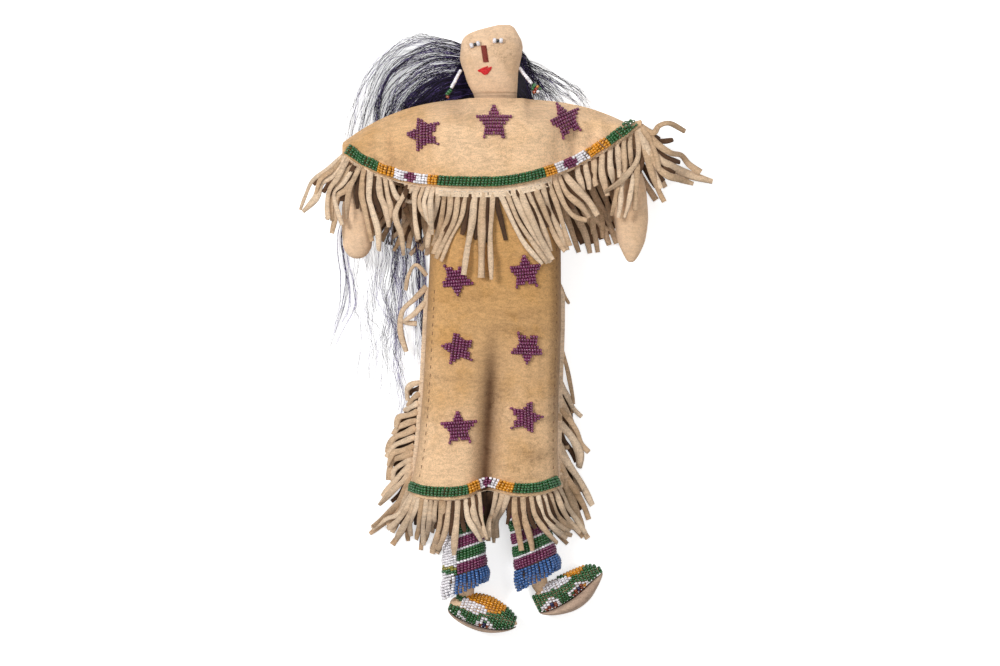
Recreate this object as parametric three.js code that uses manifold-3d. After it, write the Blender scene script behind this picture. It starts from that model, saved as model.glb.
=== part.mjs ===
// Beaded hide doll lying on its back, in millimetres.
// +X is the doll's left, +Y runs to the head, +Z is up through the front.
// The origin is on the flat of the dress back, in the middle of the skirt.
import * as THREE from "three";
import { mergeVertices } from "three/addons/utils/BufferGeometryUtils.js";
import Module from "manifold-3d";

const wasm = await Module();
wasm.setup();

// Hide, beadwork and clearances
const HIDE = 1.2; // dress hide
const SKIN = 1.2; // hide of the stuffed body
const STRIP = 0.9; // fringe hide
const BEAD = 1.6; // height of beadwork above the hide
const SEAT = 0.35; // gap between a piece and what it lies on
const TURN_GAP = 0.45; // gap round a limb's rounded end

// Torso
const HIP_Y = -8;
const SHOULDER_Y = 118;
const TORSO_THICK = 31;
const HIP_HALF = 28;
const WAIST_HALF = 27;
const CHEST_HALF = 30;
const SHOULDER_HALF = 35;

// Head
const NECK_X = 3.5;
const NECK_Y = 120;
const NECK_HALF = 11;
const NECK_THICK = 14;
const HEAD_HALF = 17;
const HEAD_THICK = 23;
const HEAD_LENGTH = 47;
const HEAD_TILT = 7;
const EYE_LENGTH = 4.6;
const EYE_SPREAD = 12.4;
const EYE_HEIGHT = 38.3;
const EYE_OFFSET = -0.7;
const NOSE_LENGTH = 9;
const NOSE_WIDTH = 2.4;
const NOSE_HEIGHT = 32.6;
const NOSE_OFFSET = -2.5;
const MOUTH_WIDTH = 7.4;
const MOUTH_HEIGHT = 23.3;
const MOUTH_OFFSET = -3.4;
const MOUTH_DEPTH = 3;

// Arms
const ARM_HALF = 7.6;
const ELBOW_HALF = 6.2;
const SHOULDER_BALL = 7.6;
const HAND_THICK = 13;
const LEFT_ARM = { side: 1, x: 37, y: 107, out: 39.5, tip: 38, hand: 8.6, taper: 0.66, end: 1.4 };
const RIGHT_ARM = { side: -1, x: -36, y: 107, out: 36, tip: 39.5, hand: 8.2, taper: 0.84, end: 4 };

// Legs, leggings and moccasins
const THIGH_RADIUS = 11;
const LEG_RADIUS = 9.8;
const LEGGING_RADIUS = 12.2;
const CUFF_RADIUS = 13.5;
const CUFF_HEIGHT = 10;
const LEGGING_TOP = 68;
const ANKLE_BALL = 4.8;
const FOOT_HALF = 10;
const SOLE_BULGE = 1;
const MOCCASIN_WALL = 1.5;
// Moccasin outline from heel to toe: along from the ankle, top, seam to the sole, sole,
// share of the half width
const LEFT_FOOT = [
  [-7, -6, -13.5, -14.6, 0.36],
  [-5.4, -3.4, -14.4, -16, 0.6],
  [0, -1.2, -14.6, -18, 0.84],
  [8, -0.6, -14.4, -19.8, 1],
  [15, -0.8, -13.4, -19.6, 0.98],
  [22, -1, -11.6, -17.2, 0.84],
  [28, -1.8, -9.8, -13.4, 0.62],
  [32, -3.8, -9, -11, 0.4],
  [34, -6.6, -8.6, -9.6, 0.22],
];
const RIGHT_FOOT = [
  [-6.6, -6, -10.6, -11.6, 0.36],
  [-5, -3.6, -12.2, -13.6, 0.6],
  [0, -1, -13.8, -15.8, 0.84],
  [7, 1.6, -14.6, -17, 1],
  [14, 2.4, -14.6, -17, 1],
  [20, 1.2, -13.8, -16, 0.92],
  [26, -1.4, -12.2, -14.2, 0.76],
  [30, -4.4, -11, -12.6, 0.52],
  [32.6, -7.4, -10, -11.2, 0.28],
];
const LEFT_LEG = {
  side: 1, hipX: 5.5, ankleX: 27.5, ankleY: -140.8, footTurn: 26, show: 3, slant: 12.6, foot: LEFT_FOOT,
};
const RIGHT_LEG = {
  side: -1, hipX: -18, ankleX: -13.2, ankleY: -145.2, footTurn: -20, show: 1.8, slant: 24, foot: RIGHT_FOOT,
};

// Dress
const LEFT_SPAN = 83;
const RIGHT_SPAN = 81;
const NECKLINE_Y = 127.5;
const YOKE_EDGE_Y = 77.5;
const LEFT_SHOULDER_DROP = 11;
const RIGHT_SHOULDER_DROP = 24;
const LEFT_CUFF_RISE = 31;
const RIGHT_CUFF_RISE = 19.5;
const FOLD_Z = 13;
const FOLD_GAP = 2.3;
const NECK_OPENING = 17;
const SKIRT_TOP_Y = 90;
const SKIRT_HEM_Y = -90;
const SKIRT_TOP_HALF = 34;
const SKIRT_HEM_HALF = 42.4;
const SKIRT_LEAN = -2.5;
const SEAM_Z = 10;
const VALLEY_DEPTH = 7.5;
const VALLEY_HALF = 7;
const BAND_WIDTH = 5.6;
const BAND_EDGE = 0.8;
const BAND_SEAT = 0.8;
const STAR_RADIUS = 8.8;
const STAR_WAIST = 5.2;
const STAR_SEAT = 0.6;

// Fringes
const STRIP_WIDTH = 2.8;
const HEADER_TUCK = 3;
const HEADER_SHOW = 2.5;
const HEADER_SEAT = 0.75; // gap between a header and the panel it is sewn under
const SLIT = 0.08; // share of the pitch cut away at each side of a strip
const YOKE_FRINGE = { strips: 17, length: 40 };
const SLEEVE_FRINGE = { strips: 11, length: 46 };
const BACK_FRINGE = { strips: 12, length: 36 };
const SLEEVE_BACK_FRINGE = { strips: 9, length: 38 };
const HEM_FRINGE = { strips: 19, length: 31 };
const SIDE_FRINGE = { strips: 12, length: 25 };
const SIDE_FRINGE_TOP = 20;
const CONE_STRIP = 6;
const CONE_LENGTH = 12;
const CONE_MOUTH = 2;
const CONE_NECK = 1;
const CONE_WALL = 0.4;

// Hair and earrings
const HAIR_DEPTH = 2.4;
const HAIR_LOOP_DEPTH = 5.6;
const HAIR_REACH = 41;
const HAIR_TUCK_X = -68;
const HAIR_TUCK_Y = 112.5;
const HAIR_HALF = 11;
// Middle of the hair, half width and share of the depth
const HAIR_LOOP = [
  [-22, 140, 12, 1],
  [-36, 146, 12, 1],
  [-52, 145, 11, 0.85],
  [-63, 135, 10, 0.6],
  [-67, 121.5, 10, 0.48],
];
const HAIR_FALL = [
  [-67, 92, 12, 1],
  [-62, 55, 15, 1],
  [-59, 20, 16, 0.9],
  [-59, -10, 13, 0.75],
  [-58, -36, 9, 0.5],
];
const EARRING_BEAD = 1;
const EARRING_BEADS = 6;
const DROP_BEAD = 1.5;
const EARRING_LIFT = 12;
const LEFT_EARRING = { side: 1, swing: 30, height: 23, tuck: 1.1 };
const RIGHT_EARRING = { side: -1, swing: 34, height: 25.7, tuck: 0.8 };

const UP = new THREE.Vector3(0, 0, 1);

function point(x, y, z) {
  return new THREE.Vector3(x, y, z);
}

function mix(a, b, t) {
  return a + (b - a) * t;
}

function smooth(t) {
  const s = THREE.MathUtils.clamp(t, 0, 1);
  return s * s * (3 - 2 * s);
}

function radians(degrees) {
  return THREE.MathUtils.degToRad(degrees);
}

// A repeatable spread between -1 and 1 for the lie of the strips
function stray(i, seed) {
  const s = Math.sin(i * 12.9898 + seed * 78.233) * 43758.5453;
  return 2 * (s - Math.floor(s)) - 1;
}

// Solid operations
function solid(geometry) {
  const plain = geometry.clone();
  plain.deleteAttribute("normal");
  plain.deleteAttribute("uv");
  const joined = mergeVertices(plain, 1e-4);
  const mesh = new wasm.Mesh({
    numProp: 3,
    vertProperties: new Float32Array(joined.attributes.position.array),
    triVerts: new Uint32Array(joined.index.array),
  });
  return new wasm.Manifold(mesh);
}

function shape(body) {
  const mesh = body.getMesh();
  const geometry = new THREE.BufferGeometry();
  geometry.setAttribute("position", new THREE.BufferAttribute(mesh.vertProperties, 3));
  geometry.setIndex(new THREE.BufferAttribute(mesh.triVerts, 1));
  geometry.computeVertexNormals();
  return geometry;
}

function fromLists(points, faces) {
  const geometry = new THREE.BufferGeometry();
  const numbers = points.flatMap((p) => p.toArray());
  geometry.setAttribute("position", new THREE.Float32BufferAttribute(numbers, 3));
  geometry.setIndex(faces);
  geometry.computeVertexNormals();
  return geometry;
}

// A closed form through rings of equal count, with a fan over each end
function loft(rings) {
  const sides = rings[0].length;
  const last = rings.length - 1;
  const points = rings.flat();
  const faces = [];
  for (let r = 0; r < last; r += 1) {
    for (let s = 0; s < sides; s += 1) {
      const a = r * sides + s;
      const b = r * sides + ((s + 1) % sides);
      faces.push(a, b + sides, b, a, a + sides, b + sides);
    }
  }
  for (const end of [0, last]) {
    const middle = rings[end].reduce((sum, p) => sum.add(p), point(0, 0, 0)).divideScalar(sides);
    const centre = points.push(middle) - 1;
    for (let s = 0; s < sides; s += 1) {
      const a = end * sides + s;
      const b = end * sides + ((s + 1) % sides);
      faces.push(...(end === 0 ? [centre, a, b] : [centre, b, a]));
    }
  }
  return fromLists(points, faces);
}

// One station of a stuffed form: centre, direction along it, half width and half thickness
function station(x, y, z, wide, thick, along = point(0, 1, 0)) {
  return { at: point(x, y, z), wide, thick, along };
}

function formRing(s, sides, fullness) {
  const across = s.along.clone().cross(UP).normalize();
  const ring = [];
  for (let i = 0; i < sides; i += 1) {
    const turn = (i / sides) * 2 * Math.PI;
    const c = Math.cos(turn);
    const n = Math.sin(turn);
    const w = s.wide * Math.sign(c) * Math.abs(c) ** fullness;
    const h = s.thick * Math.sign(n) * Math.abs(n) ** fullness;
    ring.push(s.at.clone().addScaledVector(across, w).addScaledVector(UP, h));
  }
  return ring;
}

function form(stations, sides = 12, fullness = 0.92) {
  return solid(loft(stations.map((s) => formRing(s, sides, fullness))));
}

// The same form drawn in by a depth, its ends as well
function inset(stations, depth) {
  return stations.map((s, i) => {
    const end = i === 0 ? 1 : i === stations.length - 1 ? -1 : 0;
    return {
      at: s.at.clone().addScaledVector(s.along, end * depth),
      wide: Math.max(s.wide - depth, 0.3),
      thick: Math.max(s.thick - depth, 0.3),
      along: s.along,
    };
  });
}

// A stuffed bag: a cover with an open mouth at its first station, and its filling
function bag(stations, mouth) {
  const hollow = inset(stations, SKIN);
  const first = stations[0];
  const lip = {
    at: first.at.clone().addScaledVector(first.along, -2 * SKIN),
    wide: mouth,
    thick: mouth,
    along: first.along,
  };
  const cover = form(stations).subtract(form([lip, ...hollow.slice(1)]));
  return { cover, filling: form(inset(stations, SKIN + SEAT)) };
}

// Rounded end of a limb round an upright axis through a turning point
function roundedEnd(x, y, z, wide, thick, along, grow = 0) {
  const steps = [-0.97, -0.68];
  return steps.map((t) => {
    const r = Math.sqrt(1 - t * t);
    const at = point(x, y, z).addScaledVector(along, t * (wide + grow));
    return { at, wide: (wide + grow) * r, thick: (thick + grow) * r, along };
  });
}

function ball(x, y, z, wide, thick, sides = 18) {
  const geometry = new THREE.SphereGeometry(wide, sides, Math.round(sides / 2));
  geometry.rotateX(Math.PI / 2);
  geometry.scale(1, 1, thick / wide);
  geometry.translate(x, y, z);
  return solid(geometry);
}

// A sheet of hide between an outer face and the same face moved in by its thickness
function facing(face, u, v) {
  const e = 1e-3;
  const alongU = face(u + e, v).sub(face(u - e, v));
  const alongV = face(u, v + e).sub(face(u, v - e));
  return alongU.cross(alongV).normalize();
}

function moved(face, distance) {
  return (u, v) => face(u, v).addScaledVector(facing(face, u, v), distance);
}

function sheet(face, thickness, columns, rows) {
  const inner = moved(face, -thickness);
  const points = [];
  for (const side of [face, inner]) {
    for (let r = 0; r <= rows; r += 1) {
      for (let c = 0; c <= columns; c += 1) {
        points.push(side(c / columns, r / rows));
      }
    }
  }
  const row = columns + 1;
  const layer = row * (rows + 1);
  const faces = [];
  function quad(a, b, c, d) {
    faces.push(a, b, c, a, c, d);
  }
  for (let r = 0; r < rows; r += 1) {
    for (let c = 0; c < columns; c += 1) {
      const a = r * row + c;
      quad(a, a + 1, a + row + 1, a + row);
      quad(layer + a, layer + a + row, layer + a + row + 1, layer + a + 1);
    }
  }
  for (let c = 0; c < columns; c += 1) {
    const far = rows * row + c;
    quad(c + 1, c, layer + c, layer + c + 1);
    quad(far, far + 1, layer + far + 1, layer + far);
  }
  for (let r = 0; r < rows; r += 1) {
    const a = r * row;
    const b = a + columns;
    quad(a, a + row, layer + a + row, layer + a);
    quad(b + row, b, layer + b, layer + b + row);
  }
  return fromLists(points, faces);
}

// Heights of the layers
const SKIRT_BACK_LIFT = HIDE + STRIP + 2 * SEAT;
const TORSO_FLOOR = SKIRT_BACK_LIFT + HIDE + SEAT;
const TORSO_MID = TORSO_FLOOR + TORSO_THICK / 2;
const TORSO_TOP = TORSO_FLOOR + TORSO_THICK;
const SLEEVE_BACK_Z = HAIR_DEPTH + 2 * SEAT;
const CONE_Z = HAIR_DEPTH + 2 * SEAT + CONE_MOUTH;
const ARM_FLOOR = Math.max(SLEEVE_BACK_Z + HIDE + STRIP + 2 * SEAT, CONE_Z + CONE_MOUTH + SEAT);
const ARM_MID = ARM_FLOOR + Math.max(ARM_HALF, HAND_THICK / 2, SHOULDER_BALL);
const ARM_TOP = 2 * ARM_MID - ARM_FLOOR;
const LEG_Z = Math.max(LEGGING_RADIUS + HIDE + SEAT, CUFF_RADIUS + SEAT);
const LEG_TOP = LEG_Z + LEGGING_RADIUS;
const NECK_Z = FOLD_Z + 1;
const HEAD_Z = HAIR_DEPTH + 4 * SEAT + HEAD_THICK / 2;
const CHEST_Z = TORSO_TOP + 3 * SEAT + 2 * HIDE + STRIP + HEADER_SEAT;
const SLEEVE_Z = ARM_TOP + 2 * SEAT + STRIP + HIDE + HEADER_SEAT;

// Dress faces
function skirtHalf(y) {
  return mix(SKIRT_TOP_HALF, SKIRT_HEM_HALF, (SKIRT_TOP_Y - y) / (SKIRT_TOP_Y - SKIRT_HEM_Y));
}

function skirtMiddle(y) {
  return SKIRT_LEAN * smooth((SKIRT_TOP_Y - y) / (SKIRT_TOP_Y - SKIRT_HEM_Y));
}

function skirtCrown(y) {
  const chest = TORSO_TOP + SEAT + HIDE;
  const legs = LEG_TOP + 2 * HEADER_SEAT + HIDE + STRIP + SEAT;
  return mix(chest, legs, smooth((55 - y) / 105));
}

function skirtBase(y) {
  return SKIRT_BACK_LIFT * smooth((y - 14) / 20);
}

function dome(t, power) {
  return (1 - Math.min(Math.abs(t), 1) ** power) ** (1 / power);
}

function legX(leg, y) {
  return mix(leg.hipX, leg.ankleX, (HIP_Y - y) / (HIP_Y - leg.ankleY));
}

function betweenLegs(y) {
  return (legX(LEFT_LEG, y) + legX(RIGHT_LEG, y)) / 2;
}

function skirtFrontZ(x, y) {
  const t = (x - skirtMiddle(y)) / skirtHalf(y);
  const edge = SEAM_Z + STRIP / 2 + SEAT;
  const valley = VALLEY_DEPTH * smooth((10 - y) / 80);
  const dip = valley * Math.exp(-(((x - betweenLegs(y)) / VALLEY_HALF) ** 2));
  return edge + (skirtCrown(y) - edge) * dome(t, 3.2) - dip;
}

function skirtY(v) {
  return mix(SKIRT_TOP_Y, SKIRT_HEM_Y, v);
}

// Columns are closer together towards the side seams
function skirtX(u, y) {
  const t = 2 * u - 1;
  return skirtMiddle(y) + skirtHalf(y) * (0.75 * t + 0.25 * Math.sin((Math.PI / 2) * t));
}

function skirtFrontFace(u, v) {
  const y = skirtY(1 - v);
  const x = skirtX(THREE.MathUtils.clamp(u, 0, 1), y);
  return point(x, y, skirtFrontZ(x, y));
}

function skirtBackZ(x, y) {
  const t = (x - skirtMiddle(y)) / skirtHalf(y);
  const edge = SEAM_Z - STRIP / 2 - SEAT;
  return edge - (edge - skirtBase(y)) * dome(t, 4.5);
}

function skirtBackFace(u, v) {
  const y = skirtY(v);
  const x = skirtX(THREE.MathUtils.clamp(u, 0, 1), y);
  return point(x, y, skirtBackZ(x, y));
}

function yokeX(u) {
  return mix(-RIGHT_SPAN, LEFT_SPAN, u);
}

function shoulderY(x) {
  const t = x < 0 ? -x / RIGHT_SPAN : x / LEFT_SPAN;
  const drop = x < 0 ? RIGHT_SHOULDER_DROP * t ** 2.6 : LEFT_SHOULDER_DROP * t ** 2.2;
  return NECKLINE_Y - drop;
}

function yokeEdgeY(x) {
  const t = x < 0 ? -x / RIGHT_SPAN : x / LEFT_SPAN;
  const rise = x < 0 ? RIGHT_CUFF_RISE * t ** 3.2 : LEFT_CUFF_RISE * t ** 1.75;
  return YOKE_EDGE_Y + rise;
}

function neckOpening(x) {
  return 1 - smooth((Math.abs(x - NECK_X) - NECK_OPENING + 3) / 6);
}

function chestShare(x) {
  return 1 - smooth((Math.abs(x) - 24) / 28);
}

function yokeRise(v) {
  return Math.sin((Math.PI / 2) * THREE.MathUtils.clamp(v / 0.42, 0, 1));
}

function yokeFrontAt(x, v) {
  const top = shoulderY(x);
  const y = mix(top, yokeEdgeY(x), v);
  const neck = NECK_Z + NECK_THICK / 2 + SEAT + HIDE;
  const fold = mix(FOLD_Z, neck, neckOpening(x));
  const full = mix(SLEEVE_Z, CHEST_Z, chestShare(x));
  return point(x, y, mix(fold, full, yokeRise(v)));
}

function yokeFrontFace(u, v) {
  return yokeFrontAt(yokeX(u), 1 - v);
}

function yokeBackAt(x, v) {
  const y = mix(shoulderY(x), yokeEdgeY(x), v);
  const neck = NECK_Z - NECK_THICK / 2 - SEAT - HIDE;
  const fold = mix(FOLD_Z - FOLD_GAP, neck, neckOpening(x));
  const floor = mix(SLEEVE_BACK_Z, 0, chestShare(x));
  return point(x, y, mix(fold, floor, yokeRise(v)));
}

function yokeBackFace(u, v) {
  return yokeBackAt(yokeX(u), v);
}

// The path of one fringe strip: it leaves its root at an angle from straight down and bends
function strand(root, angle, length, bend, heightAt, steps = 3) {
  const path = [];
  for (let i = 1; i <= steps; i += 1) {
    const t = i / steps;
    const turn = radians(angle + bend * t);
    const x = root.x + Math.sin(turn) * length * t;
    const y = root.y - Math.cos(turn) * length * t;
    path.push(point(x, y, heightAt(x, y, t, root)));
  }
  return { path, end: path[steps - 1], turn: radians(angle + bend) };
}

// A fringe: a sewn header, seen from v = 0 at its cut edge, and strips running on from that edge
function fringe(face, count, lay) {
  const inner = moved(face, -STRIP);
  const points = [];
  const faces = [];
  function quad(a, b, c, d) {
    faces.push(a, b, c, a, c, d);
  }
  const cuts = [];
  for (let i = 0; i < count; i += 1) {
    cuts.push(i === 0 ? 0 : i / count + SLIT / count, i === count - 1 ? 1 : (i + 1) / count - SLIT / count);
  }
  for (const u of cuts) {
    points.push(face(u, 0), face(u, 1), inner(u, 1), inner(u, 0));
  }
  const strips = [];
  for (let c = 0; c + 1 < cuts.length; c += 1) {
    const a = 4 * c;
    const b = a + 4;
    quad(a, b, b + 1, a + 1);
    quad(a + 1, b + 1, b + 2, a + 2);
    quad(a + 3, a + 2, b + 2, b + 3);
    if (c % 2 === 1) {
      quad(a, a + 3, b + 3, b);
      continue;
    }
    const root = points[a].clone().add(points[b]).add(points[a + 3]).add(points[b + 3]).divideScalar(4);
    const strip = lay(root, c / 2, (c / 2 + 0.5) / count);
    strips.push(strip);
    let ring = [a, b, b + 3, a + 3];
    strip.path.forEach((p, i) => {
      const before = i === 0 ? root : strip.path[i - 1];
      const across = p.clone().sub(before).cross(UP).setLength(STRIP_WIDTH / 2);
      const next = points.length;
      for (const [w, h] of [
        [1, 1],
        [-1, 1],
        [-1, -1],
        [1, -1],
      ]) {
        points.push(p.clone().addScaledVector(across, w).addScaledVector(UP, (h * STRIP) / 2));
      }
      const made = [next, next + 1, next + 2, next + 3];
      for (let k = 0; k < 4; k += 1) {
        const m = (k + 1) % 4;
        quad(ring[k], made[k], made[m], ring[m]);
      }
      ring = made;
    });
    quad(ring[0], ring[3], ring[2], ring[1]);
  }
  const last = 4 * (cuts.length - 1);
  quad(0, 1, 2, 3);
  quad(last, last + 3, last + 2, last + 1);
  return { geometry: fromLists(points, faces), strips };
}

// Named pieces
const doll = new THREE.Group();
doll.name = "hide_doll";

function colour(hex, roughness, metalness = 0) {
  return new THREE.MeshStandardMaterial({ color: new THREE.Color(hex), roughness, metalness });
}

function add(parent, name, geometry, material) {
  const mesh = new THREE.Mesh(geometry, material);
  mesh.name = name;
  parent.add(mesh);
  return mesh;
}

const hide = () => colour("#e3bd93", 0.9);
const darkHide = () => colour("#cdb092", 0.9);
const filling = () => colour("#e9e2d2", 0.95);
const plum = () => colour("#6b2a55", 0.35);
const white = () => colour("#efe9e6", 0.35);
const green = () => colour("#1d5a35", 0.3);
const hairBlack = () => colour("#17151a", 0.45);

// Torso with pockets for the neck and the arms
const hipMiddle = (LEFT_LEG.hipX + RIGHT_LEG.hipX) / 2;
const hipThick = THIGH_RADIUS + 0.5;
const torsoStations = [
  station(hipMiddle, HIP_Y, LEG_Z + 1.5, HIP_HALF * 0.93, hipThick - 1),
  station(hipMiddle, HIP_Y + 5, LEG_Z + 2.5, HIP_HALF, hipThick),
  station(hipMiddle / 2, HIP_Y + 30, TORSO_MID - 0.5, WAIST_HALF, TORSO_THICK * 0.43),
  station(0, 55, TORSO_MID, CHEST_HALF, TORSO_THICK / 2),
  station(0, 86, TORSO_MID, CHEST_HALF, TORSO_THICK / 2),
  station(0, 102, TORSO_MID - 1, SHOULDER_HALF, TORSO_THICK * 0.42),
  station(0, SHOULDER_Y - 7, TORSO_MID - 2.5, SHOULDER_HALF, TORSO_THICK * 0.33),
  station(1, SHOULDER_Y, NECK_Z, SHOULDER_HALF * 0.8, TORSO_THICK * 0.17),
];
const neckPocket = ball(NECK_X, NECK_Y, NECK_Z, NECK_HALF + TURN_GAP, NECK_THICK / 2 + TURN_GAP);
const armBall = SHOULDER_BALL + TURN_GAP;
const armPockets = [LEFT_ARM, RIGHT_ARM].map((a) => ball(a.x, a.y, ARM_MID, armBall, armBall));
const pockets = armPockets.reduce((sum, p) => sum.add(p), neckPocket);
const torsoCover = form(torsoStations).subtract(form(inset(torsoStations, SKIN))).subtract(pockets);
const torsoFilling = form(inset(torsoStations, SKIN + SEAT)).subtract(pockets);
add(doll, "torso_cover", shape(torsoCover), hide());
add(doll, "torso_stuffing", shape(torsoFilling), filling());

// Head, turning in its neck pocket
const head = new THREE.Group();
head.name = "head";
head.position.set(NECK_X, NECK_Y, 0);
head.rotation.z = radians(HEAD_TILT);
doll.add(head);
const headStations = [
  ...roundedEnd(0, 0, NECK_Z, NECK_HALF, NECK_THICK / 2, point(0, 1, 0)),
  station(0, 0, NECK_Z, NECK_HALF, NECK_THICK / 2),
  station(0.5, 8, NECK_Z, NECK_HALF + 0.8, NECK_THICK / 2),
  station(0, 15.4, mix(NECK_Z, HEAD_Z, 0.7), HEAD_HALF * 0.81, HEAD_THICK * 0.4),
  station(-0.2, 22, HEAD_Z, HEAD_HALF * 0.874, HEAD_THICK * 0.48),
  station(0.3, 28.7, HEAD_Z, HEAD_HALF * 0.99, HEAD_THICK / 2),
  station(1.9, 35, HEAD_Z, HEAD_HALF, HEAD_THICK * 0.47),
  station(2.3, HEAD_LENGTH - 7, HEAD_Z, HEAD_HALF * 0.95, HEAD_THICK * 0.39),
  station(3.4, HEAD_LENGTH - 4, HEAD_Z, HEAD_HALF * 0.79, HEAD_THICK * 0.27),
  station(6, HEAD_LENGTH - 1.4, HEAD_Z, HEAD_HALF * 0.5, HEAD_THICK * 0.15),
  station(8, HEAD_LENGTH, HEAD_Z, HEAD_HALF * 0.2, HEAD_THICK * 0.06),
];
const headBag = bag(headStations, 3);
add(head, "head_cover", shape(headBag.cover), hide());
add(head, "head_stuffing", shape(headBag.filling), filling());

// The head's section at a height above the neck
function headSection(y) {
  const i = Math.max(headStations.findIndex((s) => s.at.y > y), 1);
  const a = headStations[i - 1];
  const b = headStations[i];
  const t = (y - a.at.y) / (b.at.y - a.at.y);
  return { at: a.at.clone().lerp(b.at, t), wide: mix(a.wide, b.wide, t), thick: mix(a.thick, b.thick, t) };
}

function headEdge(side, y) {
  const s = headSection(y);
  return s.at.x + side * s.wide;
}

// Face sewn on the front of the head
function headZ(x, y) {
  const s = headSection(y);
  const off = Math.min(Math.abs(x - s.at.x) / s.wide, 1);
  const full = 2 / 0.92;
  return s.at.z + s.thick * (1 - off ** full) ** (1 / full);
}

function facePatch(x, y, wide, tall, high) {
  const face = (u, v) => {
    const px = x + (u - 0.5) * wide;
    const py = y + (v - 0.5) * tall;
    return point(px, py, headZ(px, py) + SEAT + high);
  };
  return sheet(face, high, 4, 3);
}

for (const side of [1, -1]) {
  const name = side > 0 ? "eye_beads_left" : "eye_beads_right";
  const x = EYE_OFFSET + (side * EYE_SPREAD) / 2;
  add(head, name, facePatch(x, EYE_HEIGHT, EYE_LENGTH, BEAD, BEAD * 0.75), white());
}
const nose = facePatch(NOSE_OFFSET, NOSE_HEIGHT, NOSE_WIDTH, NOSE_LENGTH, 0.5);
add(head, "nose_stitch", nose, colour("#7a2a25", 0.7));
const mouth = facePatch(MOUTH_OFFSET, MOUTH_HEIGHT, MOUTH_WIDTH, MOUTH_DEPTH, 0.6);
add(head, "mouth_stitch", mouth, colour("#bb2a2c", 0.6));

// Hair: a crown behind the head, then a loop and a fall lying beside the doll
const hairMid = HAIR_DEPTH / 2 + SEAT / 2;
const crownPad = form([
  station(0, 6, hairMid, 9, HAIR_DEPTH / 2),
  station(-1, 14, hairMid, 15, HAIR_DEPTH / 2),
  station(-1, HEAD_LENGTH - 13, hairMid, HEAD_HALF, HAIR_DEPTH / 2),
  station(1, HEAD_LENGTH - 5, hairMid, HEAD_HALF * 0.8, HAIR_DEPTH / 2),
]);
const leftward = point(-1, 0, 0);
const loopMid = HAIR_LOOP_DEPTH / 2 + SEAT / 2;
const crownLobe = form([
  station(-6, 22, hairMid, 12, HAIR_DEPTH * 0.45, leftward),
  station(-16, 22, hairMid, 12, HAIR_DEPTH * 0.48, leftward),
  station(-24, 23, loopMid, 12, HAIR_LOOP_DEPTH / 2, leftward),
  station(-HAIR_REACH, 23, loopMid, 12, HAIR_LOOP_DEPTH / 2, leftward),
]);
function reachDisc(radius) {
  const disc = new THREE.CylinderGeometry(radius, radius, 60, 48);
  disc.rotateX(Math.PI / 2);
  return solid(disc);
}
const wisp = form([
  station(5, 24, hairMid, 8, HAIR_DEPTH * 0.45, point(1, -0.4, 0).normalize()),
  station(19, 18, hairMid, 7, HAIR_DEPTH * 0.45, point(1, -0.6, 0).normalize()),
  station(25, 11, hairMid, 4, HAIR_DEPTH * 0.4, point(0.7, -1, 0).normalize()),
]);
const crown = crownPad.add(wisp).add(crownLobe.intersect(reachDisc(HAIR_REACH)));
add(head, "hair_crown", shape(crown), hairBlack());

function hairForm(list, depth) {
  const path = new THREE.CatmullRomCurve3(list.map(([x, y]) => point(x, y, 0)));
  const stations = list.map(([x, y, wide, share], i) => {
    const along = path.getTangent(i / (list.length - 1));
    const half = (depth * share) / 2;
    return station(x, y, half + SEAT / 2, wide, half, along);
  });
  return form(stations, 12);
}

const thinned = HAIR_DEPTH / HAIR_LOOP_DEPTH;
const tucked = [HAIR_TUCK_X, HAIR_TUCK_Y - 6, HAIR_HALF, thinned];
const loop = hairForm([...HAIR_LOOP, tucked], HAIR_LOOP_DEPTH);
const reach = reachDisc(HAIR_REACH + SEAT).translate([NECK_X, NECK_Y, 0]);
const hairLoop = loop.subtract(reach).trimByPlane([0, 1, 0], HAIR_TUCK_Y + SEAT / 2);
add(doll, "hair_loop", shape(hairLoop), hairBlack());
const fall = hairForm([[HAIR_TUCK_X, HAIR_TUCK_Y + 6, HAIR_HALF, 1], ...HAIR_FALL], HAIR_DEPTH);
const hairFall = fall.trimByPlane([0, -1, 0], SEAT / 2 - HAIR_TUCK_Y);
add(doll, "hair_fall", shape(hairFall), hairBlack());

// Earrings hanging from the sides of the head
function beadString(count, radius, waist) {
  const profile = [new THREE.Vector2(0, -2 * radius * count)];
  for (let i = count - 1; i >= 0; i -= 1) {
    const y = -2 * radius * i;
    profile.push(new THREE.Vector2(radius, y - 1.5 * radius));
    profile.push(new THREE.Vector2(radius * waist, y - 0.25 * radius));
  }
  profile.push(new THREE.Vector2(0, 0));
  return new THREE.LatheGeometry(profile, 7);
}

for (const ear of [LEFT_EARRING, RIGHT_EARRING]) {
  const name = ear.side > 0 ? "left" : "right";
  const group = new THREE.Group();
  group.name = `earring_${name}`;
  const edge = headEdge(ear.side, ear.height);
  group.position.set(edge + ear.side * (EARRING_BEAD + SEAT - ear.tuck), ear.height, HEAD_Z + 1);
  group.rotation.set(radians(-EARRING_LIFT), 0, radians(ear.side * ear.swing));
  head.add(group);
  const strandLength = 2 * EARRING_BEAD * EARRING_BEADS;
  add(group, `earring_strand_${name}`, beadString(EARRING_BEADS, EARRING_BEAD, 0.6), white());
  const drop = beadString(2, DROP_BEAD, 0.5);
  drop.translate(0, -strandLength - SEAT, 0);
  add(group, `earring_drop_${name}`, drop, green());
}

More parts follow.
